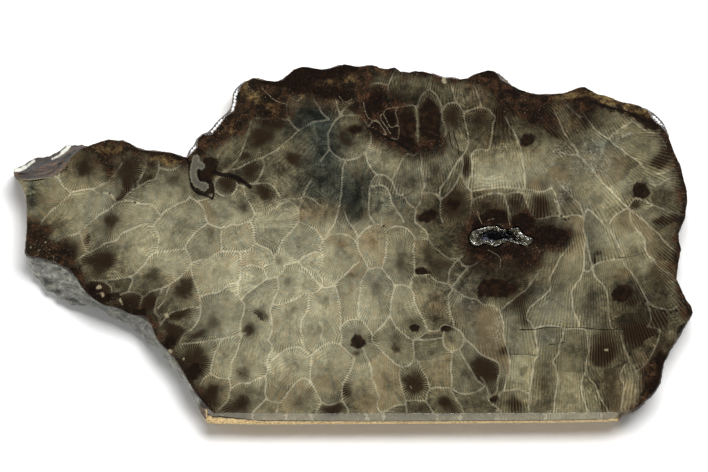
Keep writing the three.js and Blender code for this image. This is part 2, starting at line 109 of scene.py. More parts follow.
WALLS = [
    # the left lobe
    [(25, 182), (32, 179.5), (40, 178.5), (48, 177), (55, 176.5), (58, 178)],
    [(58, 178), (60, 172), (61.5, 166), (63, 160)],
    [(58, 178), (61, 182), (64, 187), (68, 190), (72, 192)],
    [(72, 192), (66, 198), (60, 204), (52, 210), (46, 216), (42, 221), (39, 227)],
    [(72, 192), (78, 190.5), (84, 189.5), (92, 188.5), (97, 187), (102, 184), (108, 182), (112, 177),
     (116, 172), (120, 167), (122, 162)],
    [(92, 188.5), (96, 192), (101, 193.5), (109, 193.5), (113, 197), (116, 203)],
    [(50, 243), (55, 242), (60, 238.5), (66, 237), (73, 235), (80, 232), (86, 226), (93, 220), (100, 214),
     (108, 210), (116, 203)],
    [(80, 232), (81, 238), (84, 246), (87, 253)],
    [(74, 262), (81, 257), (87, 253), (92, 251), (98, 248), (106, 243), (114, 241), (118, 239), (121, 234),
     (126, 231.5), (132, 229), (139, 226), (145, 224.5), (153, 226), (156, 222), (161, 216), (165, 211),
     (172, 207), (180, 203), (186, 201), (190, 196)],
    [(116, 203), (122, 200.5), (131, 201), (138, 203), (145, 204), (151, 205), (156, 210), (161, 216)],
    [(122, 200), (127, 195), (132, 190), (138, 187), (143, 184), (149, 181), (155, 179), (158, 173),
     (159, 167)],
    [(138, 187), (137, 182), (141, 177), (144, 170), (146, 163)],
    [(157, 157), (159, 162), (159, 167), (165, 169), (171, 170), (177, 168), (184, 163)],
    [(153, 226), (156, 230), (158, 236), (158.5, 243), (157, 249), (155, 253)],
    [(96, 281), (105, 280), (115, 279.5), (124, 278), (131, 276), (136, 273), (140, 269), (144, 265),
     (147, 260), (150, 256), (155, 253)],
    [(155, 253), (162, 252), (170, 251), (178, 249.5), (184, 249.5), (187, 252), (190, 258), (190.5, 263),
     (188, 269), (184, 273), (178, 279), (170, 284), (162, 288), (157, 289.5), (150, 292), (145, 296),
     (142, 298)],
    [(131, 276), (132, 281), (130, 287), (127, 292), (120, 295), (114, 299), (109, 303)],
    [(127, 292), (133, 292), (139, 294), (142, 298), (140, 304), (139, 310), (137, 314)],
    [(83, 285), (90, 281), (96, 281), (104, 282), (110, 286), (112, 294), (111, 301)],
    [(162, 288), (160, 294), (157, 300), (155, 306), (155, 312), (159, 318), (160, 326)],
    [(170, 284), (168, 290), (165, 297), (163, 303), (158, 308)],
    [(190.5, 263), (192, 276), (195, 284), (198, 291), (200, 299), (201, 307)],
    [(160, 326), (164, 320), (170, 314), (176, 311), (184, 309), (192, 307), (201, 307)],
    [(201, 307), (200, 316), (196, 324), (190, 331), (183, 335), (179, 344)],
    # the lower left
    [(190, 197), (196, 201), (201, 205), (205, 212), (206, 219), (207.4, 223.6), (198.8, 229.5), (190, 239),
     (184, 249.5)],
    [(207.4, 223.6), (214.3, 226), (221, 228), (226.8, 227), (232, 224.3), (238.6, 225), (246, 222.1),
     (250.4, 220.6), (255, 213)],
    [(221, 228), (221.2, 234), (221, 241.3), (221.7, 248.6), (220.5, 252)],
    [(250.4, 220.6), (253.4, 229.5), (254.1, 237), (254.5, 243), (249, 250.8)],
    [(190.5, 263), (198.8, 260.4), (206.2, 259), (213.6, 255.3), (220.5, 252), (228.3, 251.6), (238.6, 251.6),
     (249, 250.8)],
    [(201, 296), (209.2, 293.6), (219.5, 291.4), (228.3, 284.7), (238, 282), (240, 275), (240.5, 268),
     (241, 260), (240, 251.6)],
    [(254.5, 243), (263.7, 247.2), (270.3, 250.1), (275, 256), (282.8, 239.8)],
    [(240.5, 268), (247, 265.5), (254, 265.5), (262, 268), (266, 274), (266.6, 279.6)],
    [(262, 268), (268, 264), (274, 262), (275, 256)],
    [(238, 282), (238, 292), (241, 300), (244.5, 304), (243.8, 312), (240.8, 322), (240, 334)],
    [(241, 300), (247, 293), (253.4, 288.4), (259.3, 284), (266.6, 279.6), (272.5, 278), (281.4, 273.7),
     (284.3, 264.8)],
    [(278.4, 276), (278, 288), (275.5, 296), (272, 304)],
    [(179, 344), (190, 343), (201.8, 342.2), (213.6, 340), (225.4, 337.8), (235.7, 335.3), (246, 333)],
    [(222, 339), (218, 347), (213.6, 357.7), (211.4, 366.5), (210, 374), (203, 379), (200, 386)],
    [(210, 374), (218, 377.6), (223.9, 378.3), (229.8, 377.6)],
    [(242, 334), (238, 347), (235.7, 354.8), (232, 362), (231.3, 371), (229.8, 377.6), (230.5, 388.6),
     (228.3, 399), (225.4, 403.4), (219.5, 409.3), (214, 417)],
    [(230.5, 388.6), (240, 383.5), (249, 382.8), (256.3, 379), (266, 375.4), (268, 370), (266.6, 363),
     (269, 355), (272.5, 347.4), (268, 339)],
    [(266, 375.4), (265.9, 384.2), (265.2, 393), (265.9, 399), (259.3, 406.3), (253.4, 412.2), (249, 420)],
    [(265.9, 399), (271.8, 401.9), (278.4, 403.4), (277, 410.8), (277, 420)],
    [(278.4, 403.4), (284.3, 397.5), (290.2, 390), (296, 382.8), (300.5, 379), (306.4, 378.3), (310.9, 382.8),
     (316.8, 393), (321.2, 402), (316.8, 410.8), (313, 420)],
    [(269, 366), (272.5, 360), (278.4, 355), (284.3, 350.3), (291.7, 347.4), (299, 347), (305, 350.3),
     (310.9, 356.2), (311, 366), (310, 376.9), (310.9, 382.8)],
    [(310.9, 356.2), (318.2, 348.9), (325.6, 344), (333, 343), (341, 345)],
    [(321.2, 402), (327, 404.9), (334.4, 404), (341.8, 401)],
    [(354.3, 358), (350.6, 371), (344.8, 381.3), (341.8, 390), (343, 401), (348, 410), (349, 420)],
    [(363, 348), (368.3, 360.6), (371, 370), (373.2, 381), (377, 392), (379.4, 399), (377, 402),
     (380.2, 412.2), (388.3, 409.3), (395.7, 405.6), (401.6, 404.9), (406, 405)],
    # the middle, from the left
    [(340.3, 328.2), (344.8, 322.3), (353.6, 319.4), (361, 320), (366.9, 326), (370, 331), (372, 335.6)],
    [(340.3, 328.2), (341.8, 337), (341, 345), (346, 350), (354, 358)],
    [(361, 320), (358.4, 313), (358.4, 305), (359, 298), (360.2, 291.4), (361, 282.5), (364.6, 275.2),
     (369, 269.8), (375.7, 267.8), (382, 268.6), (386.8, 275.2), (392, 281), (394.2, 287), (392.7, 294.3),
     (391, 302), (390.3, 309), (389.8, 315), (385.4, 322.3), (379.5, 328.2), (372, 335.6)],
    [(369, 269.8), (366, 263.5), (362.4, 257.5), (359.5, 251.6), (358, 244.2), (359.5, 236.8), (363.9, 231),
     (369.8, 226.5), (375.7, 224.3), (382, 225), (385.4, 230), (386.8, 238.3), (386, 247.2), (385.4, 256),
     (383.2, 264.8), (382, 268.6)],
    [(359.5, 251.6), (356.5, 244.2), (352, 238.3), (344.8, 234.6), (337.4, 233.9), (330, 235.4),
     (323.4, 239.8)],
    [(299, 221), (304, 224), (309.4, 226.5), (315.3, 229.5), (319.7, 235.4), (323.4, 239.8), (320.4, 246),
     (320.4, 252), (314, 252), (307.9, 254.5), (302, 258), (297, 262)],
    [(299, 221), (295.4, 226), (291.7, 231), (287.3, 235.4), (282.8, 239.8)],
    [(344.8, 212), (347.7, 220.6), (352, 226.5), (356, 233), (358, 240)],
    [(337.4, 214.7), (334.4, 224), (330, 230), (326, 237)],
    [(320.4, 252), (323, 258), (321, 266), (318, 272), (322, 280), (322, 287)],
    [(284.3, 264.8), (293.2, 263.4), (297, 262), (302, 266.3), (309.4, 272.2), (314, 279), (322, 287),
     (328.5, 287), (336, 285)],
    [(359, 262), (352, 268), (345, 275), (339, 280), (336, 285), (338, 294), (340, 306), (341, 317),
     (340.3, 328.2)],
    [(272, 304), (280, 305), (286, 303), (293.2, 300.2), (300.5, 296), (307.9, 293), (316, 292), (322, 287)],
    [(308, 293), (308.5, 302), (306.5, 312), (302, 320), (300.5, 330), (302, 340), (305, 350)],
    [(272, 304), (270, 312), (272, 320), (272.5, 328.2), (271, 334), (268, 339)],
    [(319, 322), (323, 330), (321, 337), (325.6, 344)],
    [(386.8, 229.5), (392.7, 227), (400, 226.5), (407.5, 229.5), (413.4, 235.4), (414.8, 239.8),
     (413.4, 248.6), (414, 259), (414.8, 267.8), (415, 275)],
    [(394.2, 287), (400, 284.7), (404.5, 285.5), (409.5, 287), (411, 281), (415, 275.5), (425, 274.4),
     (430.3, 274.4), (432.5, 278), (438.4, 281.8), (444.3, 283.3), (448, 283.3), (449, 276), (450.2, 269.3),
     (454.6, 263.4), (459, 259), (463, 256)],
    [(425, 266), (426.6, 270.7), (430.3, 274.4)],
    [(414.8, 239.8), (422, 239), (428, 239.8), (434, 247), (441.4, 253), (448.7, 258.2), (459, 259)],
    [(415, 222), (421, 227), (427, 233), (428, 239.8)],
    [(409.5, 287), (413.4, 294.3), (414.8, 303.2), (419.3, 312), (423.7, 320.8), (426.6, 327), (427.4, 331),
     (432.5, 331), (438.4, 331), (441, 327), (446, 325.5), (453.5, 327)],
    [(389.8, 315), (394.2, 323.8), (400, 331), (407.5, 337), (413.4, 340), (420.7, 340), (431, 339.3),
     (442.5, 338)],
    [(427.4, 331), (422, 336), (413.4, 340)],
    [(448, 283.3), (451.7, 289), (449, 296), (448.3, 303.2), (450.2, 312), (453, 320), (455, 327),
     (459, 330)],
    [(451.7, 289), (459, 292.9), (467.9, 297.3), (478, 300.2)],
    [(452, 288), (457, 281), (461, 275), (467, 269)],
    [(459, 259), (462, 265), (468, 266.5), (474, 265), (479, 261)],
    [(372, 335.6), (372.8, 341.5), (379.5, 348.9), (385.4, 354.8), (392.7, 361), (400, 366.5), (407.5, 366),
     (412, 362), (414, 356.2), (413.4, 347.4), (413.4, 340)],
    [(400, 366.5), (399.4, 376.9), (401.6, 387.2), (404.5, 396), (406, 401), (406, 406), (407.5, 420)],
    [(414, 358), (419, 363), (422.5, 371), (426.6, 376.9), (428, 383), (429.6, 388.6), (426.6, 394.5),
     (425.9, 400.4), (416, 400.6), (406, 401)],
    [(429.6, 388.6), (437, 387.2), (444.3, 387.9), (450.5, 387.5), (452, 379), (451, 371), (451.7, 362),
     (451.7, 352)],
    [(444.3, 330), (442.9, 338.5), (444.3, 345.9), (450.2, 351.5), (456, 350.6), (462, 346), (464.4, 339),
     (462, 333), (459, 330), (453.5, 327)],
    [(459, 349), (461.5, 354), (465.5, 361), (471, 369.5), (475.5, 377), (480, 383), (485.6, 386)],
    [(450.5, 387.5), (459, 393), (468, 393.5), (476.8, 391.6), (485.6, 386)],
    [(464.4, 339), (472.3, 345), (479.7, 353.3), (487, 357.7), (494.4, 360.6), (499, 364), (500.3, 371),
     (497.6, 380), (497.4, 390), (491, 397)],
    [(481, 377), (485.6, 384.2), (488.5, 393), (491, 397), (487, 397.5)],
    [(450.5, 387.5), (453, 394), (456.5, 399), (460.5, 404.9), (463.5, 412.2), (465.7, 421)],
    [(425.9, 400.4), (429.6, 406.3), (434, 413.7), (438.4, 421)],
    [(487, 397.5), (491.5, 403.4), (497.4, 407.8), (501.8, 413.7), (505, 421)],
    [(497.4, 407.8), (496, 413.7), (494.4, 421)],
    [(499, 398), (500.5, 393), (503.3, 391.6), (510.6, 390), (519.5, 390), (529.6, 393.5)],
    [(509, 356), (510, 369.5), (506.5, 380), (503.3, 391.6)],
    [(500, 311), (503, 322), (504, 335), (506, 346), (509, 356)],
    [(478, 300.2), (484, 305), (493, 306), (500, 311), (508, 303), (516, 298), (526, 289), (536, 277),
     (541, 268)],
    # the top, from the shoulder to the crown
    [(216, 190), (214.5, 184), (218, 178), (226, 175.5), (233, 178), (237, 184), (235, 191), (229, 195.5),
     (221, 195), (216, 190)],
    [(216, 190), (210, 197), (203, 200), (196, 201)],
    [(237, 184), (243, 187), (245, 194), (248, 201), (251.5, 207), (255, 213), (260, 213), (268, 211),
     (275, 208), (281, 204), (288, 202), (294, 204), (298, 209), (299, 215), (299, 221)],
    [(243, 187), (247, 184), (253, 184), (262, 183.5), (270, 184), (276, 190), (280, 197), (281, 204)],
    [(253, 184), (258, 179), (262, 172), (264, 165), (262, 158)],
    [(222, 173), (228, 170), (236, 169), (243, 166), (250, 162), (257, 159), (262, 158), (272, 152.5),
     (277, 150), (281, 146), (287, 141), (293, 136), (299, 130)],
    [(226, 171), (233, 164), (239, 157), (243, 148), (247, 136), (250, 127), (252, 119), (260, 118.5),
     (270, 119), (280, 119), (288, 120)],
    [(299, 130), (295, 127), (290, 121), (287, 112), (287, 104), (290, 97), (298, 101), (303, 94),
     (309, 87), (312, 95), (316, 103), (320, 110), (325, 116), (329, 119), (322, 121), (314, 122),
     (306, 126), (299, 130)],
    [(312, 179), (307, 186), (304, 193), (302, 200), (298, 209)],
    [(281, 200), (290, 199), (298, 199), (306, 197), (314, 200), (320, 205)],
    [(340, 116.5), (333, 124), (329, 132), (328, 141), (330, 149), (336, 156), (345, 160), (355, 159),
     (363, 154), (369, 147), (371, 140), (370, 131), (366, 123), (362, 117), (355, 115.5), (347, 115.5),
     (340, 116.5)],
    [(335, 92), (336.5, 101), (338, 110), (340, 116.5)],
    [(340, 114), (345, 108), (351, 103.5), (357, 102.5), (363, 105), (362, 112), (362, 117)],
    [(363, 105), (365, 98), (365, 91), (371, 84.5), (379, 83), (387, 85)],
    [(330, 149), (325, 155), (321, 161)],
    [(345, 160), (343, 168), (342, 176), (342, 186), (341, 196), (339.5, 206), (337.4, 214.7)],
    [(396, 66), (393, 74), (390, 81), (388, 88), (389, 96), (391, 101)],
    [(363, 105), (367, 113), (371, 118), (378, 119), (383, 115), (384, 109), (391, 101)],
    [(391, 101), (391, 106), (396, 108), (396, 115), (397.5, 123), (394, 127.5), (389, 127), (386, 121),
     (383, 115)],
    [(396, 108), (398, 105.5), (404, 105), (411, 105), (416, 107), (417, 114), (417, 125), (418, 135),
     (418, 144)],
    [(397.5, 123), (399.5, 131), (397, 137), (391, 138), (386, 136), (378, 131), (371, 130)],
    [(417, 107), (420, 99), (424, 93), (429, 90), (434, 92), (438, 98), (441, 105), (441.5, 112),
     (442, 118), (445, 124), (446, 131), (444, 138), (441, 145), (435, 148), (428, 148.5), (421, 150),
     (414, 155)],
    [(431, 74), (430.5, 82), (429, 90)],
    [(441.5, 112), (445, 106), (450, 102.5), (456, 103), (460, 107), (463.5, 113), (464.5, 120), (466, 127),
     (468, 134), (468.3, 142), (466, 150), (462, 156), (460, 159)],
    [(450, 80), (453, 90), (455, 97), (456, 103)],
    [(472, 78), (475, 87), (478, 96), (481, 107)],
    [(463.5, 113), (470, 110), (477, 108), (484, 108), (490, 111), (495, 117), (493, 125), (492, 132),
     (491, 139), (490, 145), (488, 150), (481, 149), (475, 150.5), (471, 156)],
    [(471, 156), (472.5, 165), (471.5, 173), (469, 180), (467.5, 187), (471, 192)],
    [(462, 156), (463, 163), (462, 170), (463, 178), (466, 185), (471, 192)],
    [(440, 188), (446, 181), (450, 174), (455, 166), (460, 159)],
    [(421, 152), (422, 163), (422, 171), (424, 179), (424, 187), (421.5, 194), (421, 201), (415.5, 209)],
    [(371, 140), (367, 148), (366, 157), (369, 165), (373, 171), (376, 174.5), (372, 180), (370, 187)],
    [(376, 174.5), (384, 175), (391, 180), (396, 172), (401, 163), (405, 155), (414, 155)],
    [(391, 180), (395, 187), (398, 194), (404, 197), (408, 203), (415.5, 209), (415, 216), (415, 222)],
    [(370, 187), (375, 185.5), (381, 185), (387, 188), (390, 195), (391.5, 202), (395, 208), (399, 214),
     (404, 222)],
    [(370, 187), (369, 197), (368.5, 206), (369, 214), (375, 224)],
    [(421.5, 194), (429, 193), (436, 195), (440, 201), (440, 210), (442, 222)],
    [(440, 188), (440, 201)],
    [(440, 201), (446, 196), (452, 190), (456, 183), (460, 175), (462, 170)],
    [(505, 116), (509, 124), (514, 132), (518, 141), (521, 150), (523, 160), (524, 170), (525, 180),
     (524.5, 189)],
    [(471, 192), (478, 190), (486, 189), (494, 188), (503, 187.5), (512, 188), (524.5, 189)],
    [(471, 192), (472, 200), (471, 208), (470, 216), (468, 224)],
    [(471.5, 202), (478, 197.5), (487, 194.5), (495, 193.5), (504, 195), (506, 201), (508, 209), (510, 216),
     (512, 223)],
    [(504, 195), (511, 193), (518, 192.5), (523.5, 194), (525, 200), (528, 207), (531, 213), (536, 219)],
    [(524.5, 189), (532, 190), (541, 192), (552, 188)],
    [(552, 188), (555, 194), (557, 201), (559, 209), (561, 216), (567, 217), (573, 215), (579, 216),
     (584, 218)],
    [(556, 178), (562, 186), (568, 192), (573, 198), (579, 204), (582, 211), (584, 218), (583.4, 229.5),
     (586, 239), (584.5, 248), (584.2, 259), (583.4, 269.3), (580.5, 278.2), (574.6, 285.5), (571.6, 291.4),
     (572.4, 300.3), (573, 309), (576, 316.5), (579, 323.9), (579.7, 328.3)],
    [(536, 219), (545, 218), (552, 216), (561, 216)],
    # the right-hand end
    [(553, 108), (557, 117), (562, 128), (566, 136), (571, 143), (576, 149), (578, 155), (583, 160),
     (589, 166), (595, 173), (601, 180), (607, 187), (612, 192), (618, 198), (624, 204), (629, 208),
     (636, 214.5), (643.9, 220.6), (651.3, 228), (658.6, 234), (666, 242.8), (673.4, 249), (680, 254)],
    [(553, 152), (557, 149), (562, 152), (568, 154), (578, 155)],
    [(562, 101), (568, 106), (574, 112), (580, 117), (584, 115), (578, 107), (570, 102), (562, 101)],
    [(584, 115), (589, 122), (596, 130), (603, 135), (609, 139), (615, 145), (622, 150), (628, 155),
     (635, 159), (641, 164), (647, 170), (655, 174), (663, 173), (671, 169), (680, 167)],
    [(609, 139), (614, 133), (620, 129), (627, 125), (633, 122), (640, 127), (647, 131), (654, 133),
     (661, 138), (666, 146)],
    [(686, 187), (680, 181), (673, 178), (666, 180), (659, 185), (650, 184)],
    [(629, 208), (632, 202), (636, 199), (642, 200), (650, 204), (658, 207), (667, 210), (676, 213),
     (687, 216)],
    [(629, 208), (622, 211), (615, 215), (611, 220), (609, 227), (611.4, 232.4)],
    [(587, 209), (593, 213), (598, 218), (604, 225), (611.4, 232.4), (615.9, 239.8), (620.3, 250),
     (623.2, 259), (624.7, 265), (630.6, 272.3), (635, 277), (638, 282.6), (642.4, 291.4), (648.3, 301),
     (652.7, 306), (661.6, 309), (669, 310), (677.8, 306.2), (684, 300)],
    [(587, 209), (584, 218)],
    [(630, 209), (631.4, 222), (638, 231), (643.9, 238.3), (645.4, 246), (646.8, 253), (652.7, 259),
     (658.6, 266.4), (664.5, 270.8), (670.4, 274), (678, 282)],
    [(574, 243), (566, 250), (560, 258), (556, 266), (550.2, 278), (550.2, 288.5), (543.6, 296),
     (534.7, 303.2), (528.8, 309), (526.6, 318), (530.3, 322.4), (534.7, 329.8), (536.2, 340), (537.7, 355),
     (534.7, 361), (533.3, 371), (531, 383), (529.6, 394), (528.8, 406.5), (528.8, 421)],
    [(564.2, 328.3), (562.8, 337), (559.8, 344.5), (558.3, 353.4), (553.5, 361), (555.4, 368), (557.6, 377),
     (556.9, 387.3), (554.7, 399), (553.9, 411), (551.7, 421)],
    [(536, 328), (545, 326), (555, 326), (564.2, 328.3), (579.7, 328.3), (585.6, 329.8)],
    [(585.6, 329.8), (587.8, 340), (588.6, 350.4), (586.4, 361), (586.4, 371), (589.3, 378.5), (595.2, 386),
     (598.2, 393.2), (601, 399), (605.5, 406.5), (609.2, 415.3), (611, 421)],
    [(586.4, 371), (582, 380), (582, 393.2), (584.9, 403.5), (588.6, 412.4), (592, 421)],
    [(592, 266), (595.2, 276.7), (601, 282.6), (604, 287), (607, 294.4), (607.8, 303.2), (607.8, 311),
     (609.2, 321), (611.4, 327), (615.9, 330), (621.8, 329.8), (621.8, 338.6), (624.7, 349), (629, 358),
     (633.6, 367), (638, 377), (636.5, 387.3), (635.8, 396), (634.3, 408)],
    [(629, 362), (623.2, 367), (620.5, 375.5), (623.2, 384.4), (623.2, 393.2), (621.8, 403.5), (620.3, 418)],
    [(660, 331), (657.2, 343), (651.3, 355), (645.4, 364), (638, 370)],
    [(646, 303), (650, 312), (651, 320), (647, 327), (655, 328), (660, 331)],
    [(587, 240), (588, 250), (590, 258), (592, 266), (588, 272), (583.4, 269.3)],
    [(592, 266), (600, 262), (610, 260), (623.2, 259)],
]

# The middle of each corallite, from which its septa run out.
CALICES = [
    # the left lobe
    (31, 203), (82, 166), (100, 188), (55, 224), (112, 219), (128, 168), (176, 179), (150, 166), (171, 159),
    (107, 261), (72, 248), (118, 286), (100, 291), (130, 301), (151, 275), (150, 303), (178, 227), (181, 290),
    (178, 315), (172, 333), (192, 362), (222, 360), (243, 374), (212, 392), (243, 403), (40, 165), (31, 188),
    (125, 246),
    # the lower left
    (211, 238), (237, 237), (222, 270), (268, 230), (267, 256), (253, 262), (278, 262), (262, 281),
    (288, 283), (303, 288), (212, 323), (252, 325), (298, 243), (316, 215), (268, 225), (340, 246),
    (312, 262), (373, 241), (352, 280), (376, 288), (326, 303), (290, 312), (357, 340), (293, 362),
    (330, 368), (298, 403), (333, 412), (259, 396), (362, 385), (387, 380), (254, 290), (262, 308),
    (322, 330), (270, 412),
    # the middle
    (401, 260), (428, 257), (447, 240), (427, 214), (400, 305), (432, 300), (434, 318), (453, 341),
    (395, 348), (435, 352), (415, 384), (466, 372), (486, 372), (420, 411), (447, 402), (478, 406),
    (516, 403), (524, 370), (480, 330), (465, 280), (495, 287), (437, 362), (512, 340),
    # the top
    (350, 137), (385, 155), (380, 205), (413, 185), (434, 172), (430, 122), (407, 127), (390, 118),
    (375, 100), (351, 109), (378, 74), (405, 88), (441, 84), (453, 117), (466, 92), (478, 122), (479, 140),
    (500, 117), (528, 138), (467, 165), (453, 204), (490, 206), (517, 204), (541, 206), (264, 100),
    (307, 110), (262, 138), (290, 160), (250, 172), (228, 186), (263, 194), (245, 210), (320, 150),
    (322, 180), (280, 172), (210, 180), (345, 80), (360, 185), (400, 215), (325, 215), (495, 170),
    (300, 190),
    # the right-hand end
    (543, 112), (573, 118), (606, 112), (590, 150), (615, 160), (643, 148), (640, 188), (635, 206),
    (668, 196), (569, 196), (598, 200), (618, 222), (655, 222), (664, 240), (660, 285), (622, 292),
    (592, 292), (560, 290), (545, 335), (571, 345), (603, 352), (597, 385), (636, 335), (650, 350),
    (612, 385), (600, 240), (570, 225), (633, 250), (545, 385), (655, 395), (570, 400),
]

# Corallites that are cut along their length: their septa run nearly straight, away from a far point.
FANS = {
    (495, 170): (482, 10), (528, 138): (440, 20), (543, 112): (450, 10), (573, 118): (520, 40),
    (606, 112): (560, 40), (643, 148): (560, 130), (590, 150): (540, 90), (615, 160): (560, 80),
    (640, 188): (600, 150), (668, 196): (610, 170), (618, 222): (600, 160), (655, 222): (590, 170),
    (664, 240): (590, 190), (633, 250): (600, 170), (660, 285): (600, 215), (598, 200): (560, 140),
    (569, 196): (530, 150), (622, 292): (600, 200), (592, 292): (592, 180), (560, 290): (575, 200),
    (545, 335): (555, 200), (571, 345): (572, 200), (603, 352): (596, 220), (597, 385): (590, 250),
    (612, 385): (600, 260), (545, 385): (545, 240), (570, 400): (570, 260), (524, 370): (522, 250),
    (516, 403): (512, 330), (650, 350): (610, 300), (655, 395): (640, 330), (512, 340): (512, 250),
    (480, 330): (470, 240), (490, 206): (497, 290), (517, 204): (508, 290), (541, 206): (540, 150),
    (500, 117): (500, 80), (466, 92): (462, 50), (478, 140): (478, 60), (441, 84): (441, 50),
    (413, 185): (410, 110), (434, 172): (430, 100), (467, 165): (470, 120), (378, 74): (376, 110),
    (405, 88): (402, 130), (570, 225): (560, 160), (600, 240): (590, 180), (636, 335): (620, 270),
}

